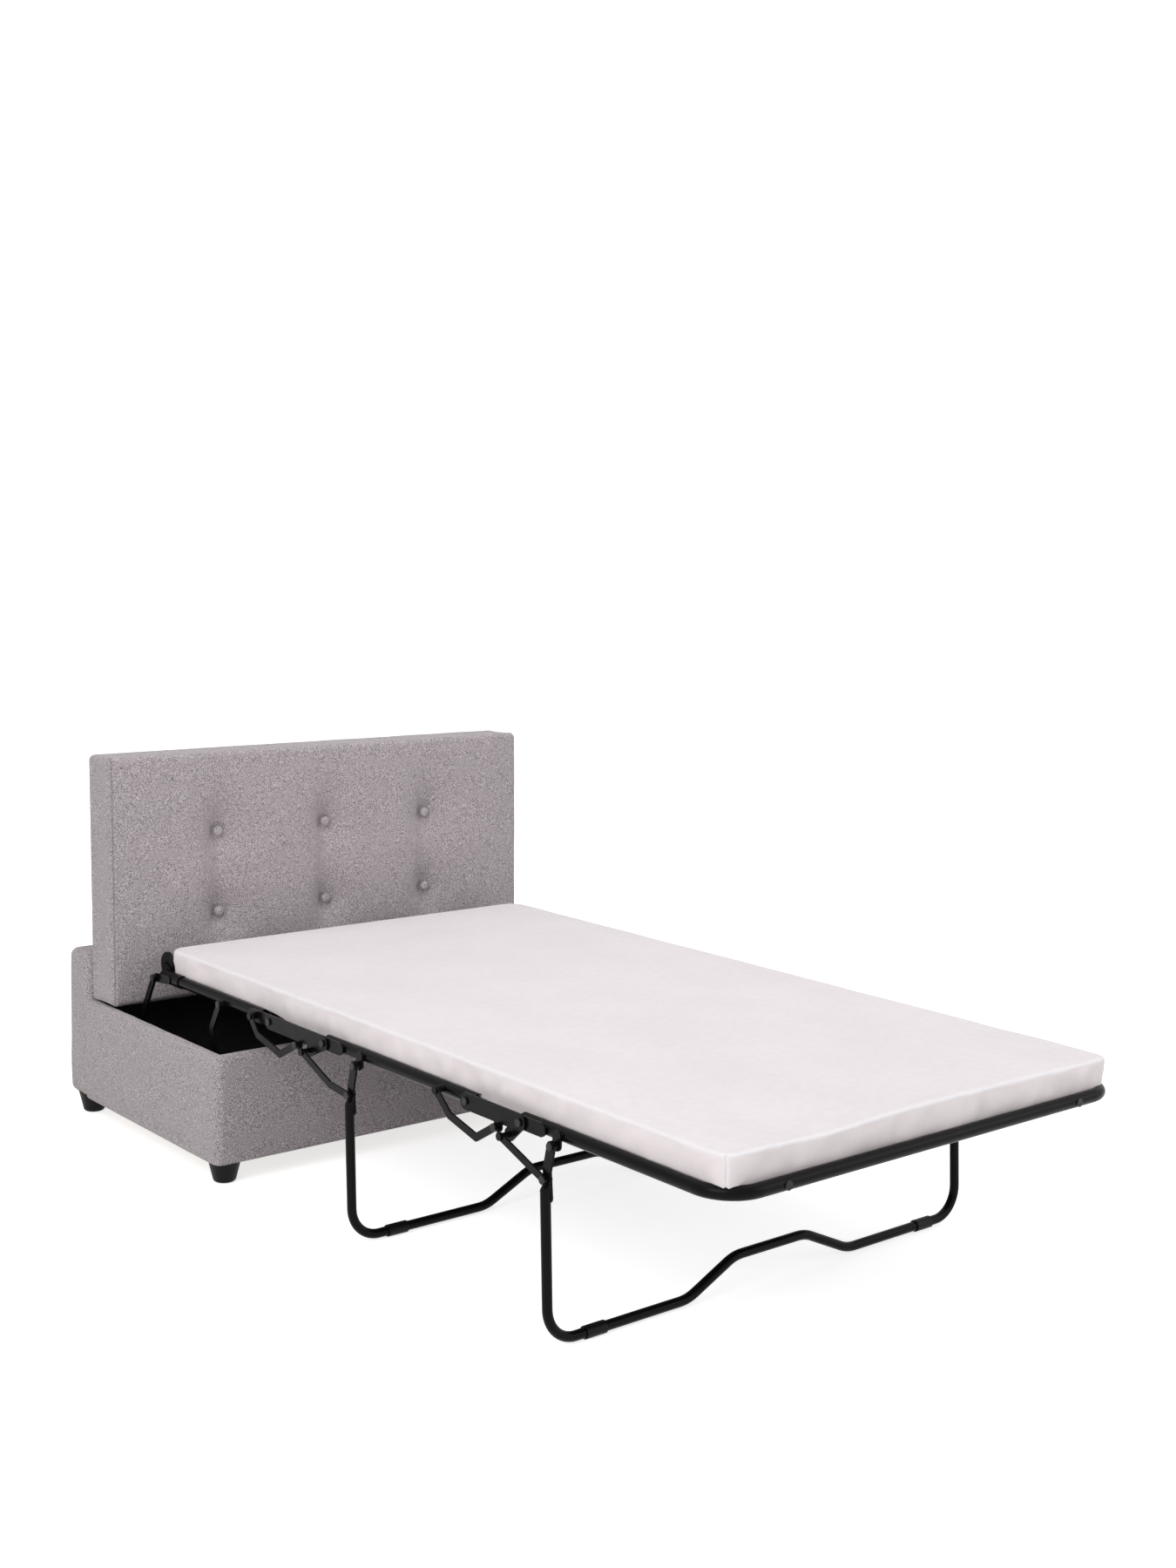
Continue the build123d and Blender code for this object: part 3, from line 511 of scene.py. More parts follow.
def join_rows(skin, rows, closed=False):
    """Faces between neighbouring rows of points; a closed row runs on to its first point."""
    count = len(rows[0]) if closed else len(rows[0]) - 1
    for first, second in zip(rows, rows[1:]):
        for i in range(count):
            after = (i + 1) % len(first)
            corners = (first[i], first[after], second[after], second[i])
            skin.faces.new(tuple(dict.fromkeys(corners)))


def rounded_skin(axes, radius, edges_sewn=False):
    """A closed skin of quads over a box with rounded edges, which can be marked as seams for the mattress cover's
    paler band and painted highlight.
    """
    skin = new_skin()
    seam = skin.verts.layers.float["seam"]
    last = [len(axis) - 1 for axis in axes]
    made = {}

    def corner(spot):
        if spot not in made:
            place = Vector([axes[n][spot[n]] for n in range(3)])
            core = Vector([
                min(max(place[n], axes[n][0] + radius), axes[n][-1] - radius) for n in range(3)
            ])
            out = (place - core).normalized()
            vertex = skin.verts.new(core + out * radius)
            if edges_sewn:
                # The mark peaks where the edge turns, where the mattress cover paints its paler seam band and
                # painted highlight
                second, most = sorted(abs(part) for part in out)[1:]
                vertex[seam] = (2 * second * most) ** 2
            made[spot] = vertex
        return made[spot]

    for fixed in range(3):
        u, v = [n for n in range(3) if n != fixed]
        for side in (0, last[fixed]):
            rows = []
            for b in range(last[v] + 1):
                row = []
                for a in range(last[u] + 1):
                    spot = [side] * 3
                    spot[u] = a
                    spot[v] = b
                    row.append(corner(tuple(spot)))
                rows.append(row)
            join_rows(skin, rows)
    bmesh.ops.recalc_face_normals(skin, faces=skin.faces)
    return skin


def box_skin(part, steps, radius, turns=5):
    """The measured box of a solid, and a skin over it with rounded edges."""
    low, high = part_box(part)
    axes = [spread(low[n], high[n], steps[n], radius, turns) for n in range(3)]
    return low, high, rounded_skin(axes, radius)


def add_turned(skin, profile, segments, stance):
    """Add a closed turned form to a skin, from rows of radius, height and seam mark."""
    seam = skin.verts.layers.float["seam"]
    around = [(math.cos(turn), math.sin(turn)) for turn in divided(0.0, math.tau, segments)[:-1]]
    rings = []
    for radius, height, mark in profile:
        if radius == 0:
            ring = [skin.verts.new(stance @ Vector((0, 0, height)))] * segments
        else:
            places = [Vector((radius * x, radius * y, height)) for x, y in around]
            ring = [skin.verts.new(stance @ place) for place in places]
        for vertex in ring:
            vertex[seam] = mark
        rings.append(ring)
    join_rows(skin, rings, closed=True)


def placed(name, data):
    """A new object in the scene."""
    item = bpy.data.objects.new(name, data)
    bpy.context.scene.collection.objects.link(item)
    return item


def piece_from(skin, name, slot):
    """A scene object with smooth shading and the finish of a slot."""
    mesh = bpy.data.meshes.new(name)
    skin.to_mesh(mesh)
    skin.free()
    mesh.shade_smooth()
    mesh.materials.append(finish_for(slot))
    piece = placed(name, mesh)
    return piece


def bell(distance, reach, power=2.0):
    """A smooth hump that is 1 at no distance and fades over a reach."""
    return math.exp(-((abs(distance) / reach) ** power))


def ripple(place, scale, seed):
    """Repeatable soft noise between -1 and 1 at a place."""
    return noise.noise(Vector(place) * scale + Vector((seed, 0, 0)))


def lid_stance():
    """The turn and shift that stand the lid up, and its width."""
    sizes = bpy.context.scene.bed_lid
    low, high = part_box("lid_pad")
    # The rounding of the plain lid, which the padding stands for
    plain_edge = 0.016
    back = high.y - (sizes.height - plain_edge) * math.sin(sizes.lean)
    stance = Matrix.Translation((0, back, low.z)) @ Matrix.Rotation(-sizes.lean, 4, "X")
    return stance, high.x - low.x


def button_places():
    """Places of the buttons across and up the lid."""
    sizes = bpy.context.scene.bed_lid
    columns = [sizes.column_gap * n for n in (-1, 0, 1)]
    rows = [sizes.height / 2 + sizes.row_gap * n for n in (-0.5, 0.5)]
    return columns, rows


def pulled_in(x, z):
    """How far the buttons pull the padding in at a place on the lid's front."""
    sizes = bpy.context.scene.bed_lid
    columns, rows = button_places()
    fade_reach = 0.090
    folds = 5
    fold_height = 0.0012
    fold_start = 0.004
    fold_place = 0.032
    fold_reach = 0.020
    depth = 0.0
    for column in columns:
        outside = max(rows[0] - z, z - rows[1], 0.0)
        fade = bell(outside, fade_reach)
        depth += sizes.crease * bell(x - column, sizes.crease_reach) * fade
        for row in rows:
            away = math.hypot(x - column, z - row)
            depth += sizes.dimple * bell(away, sizes.dimple_reach, power=1.35)
            depth += sizes.pull * bell(away, sizes.pull_reach)
            if away > fold_start:
                wave = math.cos(folds * math.atan2(z - row, x - column) + 3 * column)
                depth += fold_height * wave * bell(away - fold_place, fold_reach)
    return depth


class BED_OT_finish_frame(Operator):
    """Give every solid of the steel frame, the feet and the boards its finish"""
    bl_idname = "bed.finish_frame"
    bl_label = "Frame finishes"

    def execute(self, context):
        for subpart in frame["record"]["subparts"]:
            solid = frame["nodes"][subpart["node"]]
            solid.data.materials.clear()
            solid.data.materials.append(finish_for(subpart["material_slot"]))
        return {"FINISHED"}


class BED_OT_make_lid(Operator):
    """Build the padded lid with its dimples and soft valleys"""
    bl_idname = "bed.make_lid"
    bl_label = "Lid"

    def execute(self, context):
        sizes = context.scene.bed_lid
        stance, width = lid_stance()
        half = width / 2
        edge = sizes.edge
        step = 0.0075
        deep_step = 0.012
        beside = 0.002
        stitch = 0.0014
        stitch_reach = 0.0018
        front_depth = 0.035
        front_fade = 0.030
        wave_height = 0.0009
        softness = 0.0016
        side_give = 0.0022
        end_give = 0.0018
        seam_lines = [
            side * (half - sizes.piping + shift) for side in (-1, 1) for shift in (-beside, 0.0, beside)
        ]
        axes = [
            sorted(spread(-half, half, step, edge) + seam_lines),
            spread(-sizes.thickness, 0.0, deep_step, edge),
            spread(0.0, sizes.height, step, edge),
        ]
        skin = rounded_skin(axes, edge)
        seam = skin.verts.layers.float["seam"]
        for vertex in skin.verts:
            x, y, z = vertex.co
            across = abs(x) / half
            up = abs(2 * z / sizes.height - 1)
            depth = y + sizes.thickness
            facing = eased(min(1.0, max(0.0, (front_depth - depth) / front_fade)))
            drop = sizes.crown * (0.75 * across ** 5 + 0.25 * up ** 5)
            drop += pulled_in(x, z) + wave_height * ripple((x, 0, z), scale=9.0, seed=3.0)
            y += facing * drop
            middle = 1 - abs(2 * (-y) / sizes.thickness - 1) ** 2
            soft = softness * ripple((x, y, z), scale=14.0, seed=8.0)
            if across > 0.97:
                x -= math.copysign((side_give - soft) * middle, x)
            if z > sizes.height - edge or z < edge:
                z -= math.copysign((end_give - soft) * middle, z - edge)
            # The stitched line is pressed in as a groove and marked for the cover finish to darken: painted shade
            # in the groove
            line = bell(abs(vertex.co.x) - half + sizes.piping, stitch_reach) * facing
            vertex[seam] = 0.55 * line
            y += stitch * line
            vertex.co = stance @ Vector((x, y, z))
        pad = piece_from(skin, "tufted_lid_pad", "grey_fabric")
        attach(pad, "lid")
        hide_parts("lid_pad")
        return {"FINISHED"}


class BED_OT_make_buttons(Operator):
    """Build the covered buttons that hold the tufts down"""
    bl_idname = "bed.make_buttons"
    bl_label = "Buttons"

    def execute(self, context):
        sizes = context.scene.bed_lid
        stance, _ = lid_stance()
        columns, rows = button_places()
        r = sizes.button_radius
        crown = 0.0062
        edge_mark = 0.8
        # The rim rows carry the mark that the cover finish darkens: a painted shadow ring round each button
        profile = [
            (0, crown, 0), (0.35 * r, 0.0060, 0), (0.62 * r, 0.0052, 0), (0.84 * r, 0.0038, 0),
            (0.97 * r, 0.0018, 0), (r, 0.0, edge_mark), (0.97 * r, -0.0012, edge_mark), (0.90 * r, -0.0016, edge_mark),
            (0.93 * r, -0.0030, 0), (0, -0.0034, 0),
        ]
        whole = new_skin()
        for column in columns:
            for row in rows:
                seat = Vector((column, sizes.button_sink - sizes.thickness + crown, row))
                turn = Matrix.Translation(seat) @ Matrix.Rotation(math.pi / 2, 4, "X")
                add_turned(whole, profile, segments=28, stance=stance @ turn)
        bmesh.ops.recalc_face_normals(whole, faces=whole.faces)
        buttons = piece_from(whole, "covered_buttons", "button_fabric")
        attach(buttons, "lid")
        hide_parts("lid_buttons")
        return {"FINISHED"}


def box_plan(sizes, low, high, lap):
    """Points round the box seen from above, each with its way out, from rear to rear."""
    half = high.x
    corner = sizes.corner
    lap_inset = 0.002
    side_steps = 45
    corner_steps = 12
    front_steps = 90
    middle = Vector((corner - half, low.y + corner))
    outwards = Vector((-1, 0))
    left = [(Vector((lap_inset - half, high.y + lap)), outwards)]
    left += [(Vector((-half, y)), outwards) for y in divided(high.y, middle.y, side_steps)[:-1]]
    for turn in divided(math.pi, 1.5 * math.pi, corner_steps):
        out = Vector((math.cos(turn), math.sin(turn)))
        left.append((middle + out * corner, out))
    across = divided(corner - half, half - corner, front_steps)[1:-1]
    front = [(Vector((x, low.y)), Vector((0, -1))) for x in across]
    right = [(Vector((-spot.x, spot.y)), Vector((-out.x, out.y))) for spot, out in reversed(left)]
    return left + front + right


def box_profile(sizes, rise, climb, lap):
    """The cover's section as inset and height, from under the wall over its rim to the inside."""
    heel = 0.003
    bevel = 0.0008
    wall_steps = 24
    outer_steps = 6
    inner_steps = 4
    outer = sizes.rim
    inner = sizes.rim * 0.6
    gap = 0.0003
    inside = sizes.wall - gap
    points = [(sizes.wall * 0.6, 0.0), (heel, 0.0), (bevel, bevel)]
    points += [(0.0, up) for up in divided(heel, climb, wall_steps)]
    for turn in divided(0.0, math.pi / 2, outer_steps)[1:]:
        points.append((outer * (1 - math.cos(turn)), climb + outer * math.sin(turn)))
    points.append((inside - outer, rise))
    for turn in divided(0.0, math.pi / 2, inner_steps)[1:]:
        points.append((inside - inner * (1 - math.sin(turn)), rise - inner * (1 - math.cos(turn))))
    return points + [(inside, climb - lap)]


class BED_OT_make_box_cover(Operator):
    """Build the padded cover round the front and sides of the box"""
    bl_idname = "bed.make_box_cover"
    bl_label = "Box cover"

    def execute(self, context):
        sizes = context.scene.bed_box
        low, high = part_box("box_cover")
        rise = high.z - low.z
        climb = rise - sizes.rim
        lap = 0.012
        face_depth = 0.004
        gather = 0.0007
        rim_ripple = 0.0012
        hem_reach = 0.006
        profile = box_profile(sizes, rise, climb, lap)
        skin = new_skin()
        rows = []
        for place, out in box_plan(sizes, low, high, lap):
            row = []
            for inset, up in profile:
                level = up / rise
                face = max(0.0, 1 - inset / face_depth)
                swell = sizes.bulge * (1 - abs(2 * level - 1) ** 3) * face
                swell += sizes.pucker * ripple((place.x, place.y, up), scale=16.0, seed=5.0) * face
                spot = (place.x * 3, place.y * 3, up * 0.6)
                swell += gather * ripple(spot, scale=22.0, seed=7.0) * bell(1 - level, 0.25)
                flat = place - out * (inset - swell)
                height = low.z + up - sizes.hem * bell(up, hem_reach)
                if inset > hem_reach and up > climb:
                    height += rim_ripple * ripple((place.x, place.y, 0), scale=12.0, seed=2.0)
                row.append(skin.verts.new((flat.x, flat.y, height)))
            rows.append(row)
        join_rows(skin, rows)
        bmesh.ops.recalc_face_normals(skin, faces=skin.faces)
        cover = piece_from(skin, "box_cover_padded", "grey_fabric")
        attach(cover, "base")
        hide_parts("box_cover")
        return {"FINISHED"}


class BED_OT_make_rear_cover(Operator):
    """Build the padded cover of the raised rear panel"""
    bl_idname = "bed.make_rear_cover"
    bl_label = "Rear panel cover"

    def execute(self, context):
        sizes = context.scene.bed_box
        edge = sizes.rear_edge
        low, high, skin = box_skin("rear_cover", steps=(0.016, 0.010, 0.012), radius=edge)
        middle = (low + high) / 2
        back_part = 0.03
        for vertex in skin.verts:
            place = vertex.co.copy()
            up = 1 - abs(2 * (place.z - middle.z) / (high.z - low.z)) ** 3
            deep = 1 - abs(2 * (place.y - middle.y) / (high.y - low.y)) ** 3
            soft = sizes.pucker * ripple(place, scale=14.0, seed=11.0)
            if place.y > middle.y + back_part:
                vertex.co.y += sizes.bulge * up + soft
            if abs(place.x) > high.x - edge:
                vertex.co.x += math.copysign(sizes.bulge * max(0.0, up * deep) + soft, place.x)
            if place.z > high.z - edge:
                vertex.co.z += sizes.bulge * max(0.0, deep) * 0.6 + soft
            if place.z < low.z + edge:
                vertex.co.z = max(vertex.co.z, low.z) - sizes.hem
        cover = piece_from(skin, "rear_cover_padded", "grey_fabric")
        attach(cover, "base")
        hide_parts("rear_cover")
        return {"FINISHED"}


def thickened(skin, thickness):
    """A cloth surface given its thickness, as a closed skin."""
    bmesh.ops.recalc_face_normals(skin, faces=skin.faces)
    bmesh.ops.solidify(skin, geom=skin.faces[:], thickness=thickness)
    return skin


def cloth_grid(x_places, y_places, height):
    """A sheet over a grid, its height given by a function of the place."""
    skin = new_skin()
    join_rows(skin, [[skin.verts.new((x, y, height(x, y))) for x in x_places] for y in y_places])
    return skin


def skin_area(skin):
    """The area of all the faces of a skin."""
    return sum(face.calc_area() for face in skin.faces)


class BED_OT_make_decks(Operator):
    """Build the black cloths that carry the mattress between the side tubes"""
    bl_idname = "bed.make_decks"
    bl_label = "Deck cloths"

    def execute(self, context):
        sizes = context.scene.bed_cloth
        slack = 0.0008
        for number, body in enumerate(("head", "mid", "foot")):
            part = f"{body}_deck"
            low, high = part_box(part)
            top = high.z - sizes.thickness
            sag = top - low.z - slack
            half = high.x

            def height(x, y):
                hang = 1 - (x / half) ** 2
                waves = sizes.ripple * ripple((x * 0.6, y * 2.5, 0), scale=9.0, seed=number * 5.0)
                return top - sag * hang - abs(waves) * (0.25 + 0.75 * hang)

            skin = cloth_grid(even(-half, half, sizes.step), even(low.y, high.y, sizes.step), height)
            area = skin_area(skin)
            cloth = piece_from(thickened(skin, sizes.thickness), f"{part}_cloth", "black_cloth")
            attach(cloth, body)
            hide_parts(part)
        return {"FINISHED"}


def make_dust_cover():
    """The thin cloth stapled over the back of the lid."""
    lid = bpy.context.scene.bed_lid
    stance, width = lid_stance()
    inset = 0.0105
    lift = 0.0010
    ripple_depth = 0.0003
    thickness = 0.0006
    half = width / 2 - inset

    def height(x, y):
        slack = (1 - (x / half) ** 4) * (1 - (2 * y / lid.height - 1) ** 4)
        ripples = abs(ripple((x, y, 0), scale=7.0, seed=6.0))
        return lift - ripple_depth * slack * ripples

    places = even(inset, lid.height - inset, lining_step)
    skin = cloth_grid(even(-half, half, lining_step), places, height)
    area = skin_area(skin)
    for vertex in skin.verts:
        x, y, z = vertex.co
        vertex.co = stance @ Vector((x, z, y))
    cloth = piece_from(thickened(skin, thickness), "lid_dust_cloth", "black_cloth")
    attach(cloth, "lid")
    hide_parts("lid_dust_cover")


class BED_OT_make_lining(Operator):
    """Build the black lining inside the box and the dust cover on the lid's back"""
    bl_idname = "bed.make_lining"
    bl_label = "Linings"

    def execute(self, context):
        edge = 0.004
        low, high, skin = box_skin("box_lining", steps=[lining_step] * 3, radius=edge, turns=2)
        open_top = [face for face in skin.faces if face.calc_center_median().z > high.z - edge]
        bmesh.ops.delete(skin, geom=open_top, context="FACES")
        middle = (low + high) / 2
        beside_wall = 0.006
        held_top = 0.05
        slack_depth = 0.0012
        thickness = 0.0010
        for vertex in skin.verts:
            slack = slack_depth * abs(ripple(vertex.co, scale=9.0, seed=4.0))
            slack *= min(1.0, (high.z - vertex.co.z) / held_top)
            for n in (0, 1):
                if abs(vertex.co[n] - middle[n]) > (high[n] - low[n]) / 2 - beside_wall:
                    vertex.co[n] -= math.copysign(slack, vertex.co[n] - middle[n])
        bmesh.ops.reverse_faces(skin, faces=skin.faces)
        area = skin_area(skin)
        skin.normal_update()
        bmesh.ops.solidify(skin, geom=skin.faces[:], thickness=-thickness)
        lining = piece_from(skin, "box_lining_cloth", "black_cloth")
        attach(lining, "base")
        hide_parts("box_lining")
        make_dust_cover()
        return {"FINISHED"}


def rounded_plan(x, y, half, end, radius, side):
    """A place near a square plan corner, moved so that the corner is round."""
    a = abs(x) - (half - radius)
    b = side * (y - end) + radius
    if a <= 0 or b <= 0:
        return x, y
    share = max(a, b) / math.hypot(a, b)
    return math.copysign(half - radius + a * share, x), end - side * (radius - b * share)


class BED_OT_make_leg_necks(Operator):
    """Build the flattened necks where the round legs narrow into their flat tongues"""
    bl_idname = "bed.make_leg_necks"
    bl_label = "Leg necks"

    def execute(self, context):
        sizes = context.scene.bed_necks
        turns = divided(0.0, math.tau, 28)[:-1]
        steps = 10
        near = 0.0005
        flattening = 0.45
        clearance = 0.0003
        outer = sizes.radius + clearance
        for part, body in (("mid_leg_hoop", "mid_legs"), ("foot_leg_hoop", "foot_legs")):
            solid = frame["nodes"][part]
            places = [solid.matrix_world @ vertex.co for vertex in solid.data.vertices]
            width = max(place.x for place in places)
            level = max(place.z for place in places if place.x > width - near)
            ring_y = [
                place.y for place in places
                if place.x > width - sizes.radius and abs(place.z - level) < 2 * near
            ]
            centre_y = (min(ring_y) + max(ring_y)) / 2
            skin = new_skin()
            for side in (-1, 1):
                rings = []
                for part_up in divided(0.0, 1.0, steps):
                    ease = eased(part_up)
                    across = outer + (sizes.flat_half_thickness - sizes.radius) * ease
                    along = outer + (sizes.flat_half_width - sizes.radius) * ease
                    middle_x = width - sizes.radius - sizes.shift * ease
                    middle_y = centre_y + sizes.slant * part_up
                    z = level - sizes.lap + (sizes.length + sizes.lap) * part_up
                    ring = []
                    for turn in turns:
                        c, s = (
                            math.copysign(abs(value) ** (1 - flattening * ease), value)
                            for value in (math.cos(turn), math.sin(turn))
                        )
                        x = side * (middle_x + across * c)
                        ring.append(skin.verts.new((x, middle_y + along * s, z)))
                    rings.append(ring)
                join_rows(skin, rings, closed=True)
                skin.faces.new(rings[0])
                skin.faces.new(rings[-1])
            bmesh.ops.recalc_face_normals(skin, faces=skin.faces)
            neck = piece_from(skin, f"{part}_necks", "frame_steel")
            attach(neck, body)
        return {"FINISHED"}


def shape_mattress(skin, sizes, half, cuts, low_z, high_z):
    """Round the corners, crown the top and add folds along the sides."""
    seam = skin.verts.layers.float["seam"]
    skirt = skin.verts.layers.float.new("skirt")
    foot = cuts[0]
    head = cuts[-1]
    top = high_z - sizes.crown
    length = head - foot
    middle = (head + foot) / 2
    roll = 0.0011
    crumple = 0.0004
    side_roll = 0.0012
    bulge = 0.0018
    foot_reach = 0.10
    seam_reach = 0.05
    hang_reach_b = 0.085
    hang_reach_a = 0.12
    at_wall = 0.002
    side_reach = 0.006
    tuck_reach = 0.050
    for vertex in skin.verts:
        x, y, z = vertex.co
        level = (z - low_z) / (top - low_z)
        across = abs(x) / half
        lengthwise = abs(2 * (y - foot) / length - 1)
        open_top = max(0.0, 1 - across ** 6) * max(0.0, 1 - lengthwise ** 24)
        if level > 0.5:
            z += sizes.crown * open_top * (2 * level - 1)
            z += roll * ripple((x, y, 0), scale=3.4, seed=1.0) * open_top
            z += crumple * ripple((x, y, 0), scale=16.0, seed=9.0) * open_top
            wave = sum(height * bell(x - spot, reach) for height, spot, reach in foot_waves)
            z += wave * bell(y - foot, foot_reach) * (2 * level - 1)
            near_side = bell(half - abs(x), seam_reach)
            z += side_roll * ripple((0, y, x), scale=8.0, seed=13.0) * near_side
        hung = max(
            bell(y - (cuts[1] + cuts[3]) / 2, hang_reach_b, power=4.0),
            bell(y - (cuts[4] + cuts[6]) / 2, hang_reach_a, power=4.0),
        )
        z -= sizes.sag * hung * (1 - level)
        waist = 1 - (2 * level - 1) ** 2
        side_fold = ripple((y * 2.2, x * 2.2, z * 2.0 + y * 0.8), scale=16.0, seed=2.0)
        side_fold += 0.5 * ripple((y * 5.0 + z * 6.0, x * 5.0, z * 3.0), scale=14.0, seed=6.0)
        swell = (bulge + sizes.wrinkle * side_fold) * waist
        if abs(vertex.co.x) > half - at_wall:
            x += math.copysign(swell, x)
        if y < foot + at_wall:
            y -= swell
        if y > head - at_wall:
            y += swell
        # The seam mark sets the paler band: doubled cloth with a painted highlight, strongest on the foot's top
        # edge and corners, weaker along the top sides, weakest low down
        if vertex[seam] > 0:
            edge_mark = vertex[seam]
            at_top = level > 0.6
            side_corner = abs(vertex.co.x) > half - sizes.edge
            end_corner = vertex.co.y < foot + sizes.edge
            strength = 0.5 if end_corner else 0.3
            vertex[seam] = edge_mark * (strength if at_top or (side_corner and end_corner) else 0.2)
            if side_corner:
                x += math.copysign(sizes.seam * edge_mark, x)
            if end_corner or vertex.co.y > head - sizes.edge:
                y += math.copysign(sizes.seam * edge_mark, vertex.co.y - middle)
            if at_top:
                z += sizes.seam * 0.8 * edge_mark
        from_side = half - abs(vertex.co.x)
        from_foot = vertex.co.y - foot
        on_wall = max(bell(from_side, side_reach, power=4.0), bell(from_foot, side_reach, power=4.0))
        vertex[skirt] = on_wall * bell(max(0.0, level - 0.80), 0.06)
        lowness = min(1.0, max(0.0, (0.55 - level) / 0.35))
        at_foot = bell(from_foot, tuck_reach) * lowness
        at_side = bell(from_side, tuck_reach) * lowness
        y += sizes.tuck_in * at_foot
        x -= math.copysign(sizes.tuck_in * at_side, x)
        z -= sizes.tuck_drop * max(at_foot, sizes.side_share * at_side)
        x, y = rounded_plan(x, y, half, foot, sizes.foot_corner, -1)
        x, y = rounded_plan(x, y, half, head, sizes.head_corner, 1)
        vertex.co = (x, y, z)


def cut_lengths(skin, places):
    """Split the skin at some of its lines and close each length with an end face."""
    source = bpy.data.meshes.new("mattress_whole")
    skin.to_mesh(source)
    skin.free()
    ends = [-math.inf, *places, math.inf]
    pieces = []
    for start, end in zip(ends, ends[1:]):
        part = bmesh.new()
        part.from_mesh(source)
        outside = [face for face in part.faces if not start < face.calc_center_median().y < end]
        bmesh.ops.delete(part, geom=outside, context="FACES")
        rim = [edge for edge in part.edges if edge.is_boundary]
        for edge in rim:
            edge.smooth = False
        bmesh.ops.holes_fill(part, edges=rim, sides=0)
        pieces.append(part)
    bpy.data.meshes.remove(source)
    return pieces


class BED_OT_make_mattress(Operator):
    """Build the thin mattress as one skin and cut it where the frame's hinges bend it"""
    bl_idname = "bed.make_mattress"
    bl_label = "Mattress"

    def execute(self, context):
        sizes = context.scene.bed_mattress
        foot_low, foot_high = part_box("mattress_foot")
        _, head_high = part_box("mattress_head")
        half = foot_high.x
        low_z = foot_low.z
        high_z = head_high.z
        p1, p2, p3, p4 = fold_places
        reach = sizes.bend_reach
        cuts = [
            foot_low.y, p4 - reach, (p3 + p4) / 2, p3 + reach,
            p2 - reach, (p1 + p2) / 2, p1 + sizes.head_reach, head_high.y,
        ]
        edge = sizes.edge
        step = 0.016
        bend_step = 0.011
        deep_step = 0.008
        turns = 5
        along = spread(cuts[0], cuts[1] + edge, step, edge, turns)[:-turns - 1]
        for start, end in zip(cuts[1:-2], cuts[2:-1]):
            along += even(start, end, bend_step)[:-1]
        along += spread(cuts[-2] - edge, cuts[-1], step, edge, turns)[turns:]
        axes = [
            spread(-half, half, step, edge),
            along,
            spread(low_z, high_z - sizes.crown, deep_step, edge),
        ]
        skin = rounded_skin(axes, edge, edges_sewn=True)
        shape_mattress(skin, sizes, half, cuts, low_z, high_z)
        pieces = cut_lengths(skin, cuts[1:-1])
        margin = 0.006
        plan = (
            ("mattress_foot_pad", "foot", None, "mattress_foot"),
            ("mattress_hinge_b_foot", ("plate_b", "foot"), p4, None),
            ("mattress_hinge_b_head", ("mid", "plate_b"), p3, "mattress_fold_b"),
            ("mattress_mid_pad", "mid", None, "mattress_mid"),
            ("mattress_hinge_a_foot", ("plate_a", "mid"), p2, None),
            ("mattress_hinge_a_head", ("head", "plate_a"), p1, "mattress_fold_a"),
            ("mattress_head_pad", "head", None, "mattress_head"),
        )
        for part, (name, bodies, pivot, stands_for) in zip(pieces, plan):
            pad = piece_from(part, name, "mattress_cover")
            if pivot is None:
                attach(pad, bodies)
                if bodies == "head":
                    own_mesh(pad)
            else:
                bend = reach - margin
                start = sizes.head_reach - margin if pivot == p1 else bend
                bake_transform(pad, *bodies, start=(0, pivot + start, low_z), end=(0, pivot - bend, low_z))
            if stands_for:
                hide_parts(stands_for)
        return {"FINISHED"}


def place_camera(scene):
    """The camera at the picture's viewpoint."""
    settings = scene.bed_stage
    turn = Matrix.Rotation(-settings.heading, 4, "Z")
    turn @= Matrix.Rotation(math.pi / 2 + settings.pitch, 4, "X")
    turn @= Matrix.Rotation(settings.roll, 4, "Z")
    width = settings.picture_width
    height = settings.picture_height
    film = 36.0
    lens = bpy.data.cameras.new("picture_camera")
    lens.sensor_width = film
    lens.lens = settings.focal_pixels / height * film
    lens.shift_x = (width / 2 - settings.centre_x) / height
    lens.shift_y = (settings.centre_y - height / 2) / height
    camera = placed("picture_camera", lens)
    camera.matrix_world = Matrix.Translation(settings.camera_place) @ turn
    scene.camera = camera


def lay_floor(scene):
    """A pale floor that shows white where it is lit and keeps the bed's shadow."""
    reach = 30.0
    drop = 0.001
    mesh = bpy.data.meshes.new("pale_floor")
    plan = ((-1, -1), (1, -1), (1, 1), (-1, 1))
    corners = [(x * reach, y * reach, -drop) for x, y in plan]
    mesh.from_pydata(corners, [], [(0, 1, 2, 3)])
    material, tree = blank_material(
        "pale_floor", Roughness=0.9, Base_Color=(0.82, 0.82, 0.82, 1.0),
        Specular_IOR_Level=0.0, Emission_Color=(*white, 1.0),
    )
    glow = seen_directly(tree, scene.bed_stage.floor_glow)
    tree.links.new(glow, tree.nodes["Principled BSDF"].inputs["Emission Strength"])
    mesh.materials.append(material)
    floor = placed("pale_floor", mesh)


def seen_directly(tree, strength):
    """A strength for camera, mirror and glass rays, and zero for the light on the object."""
    path = tree.nodes.new("ShaderNodeLightPath").outputs
    seen = reckoned(tree, "MAXIMUM", path["Is Camera Ray"], path["Is Glossy Ray"])
    seen = reckoned(tree, "MAXIMUM", seen, path["Is Transmission Ray"])
    return reckoned(tree, "MULTIPLY", seen, strength)


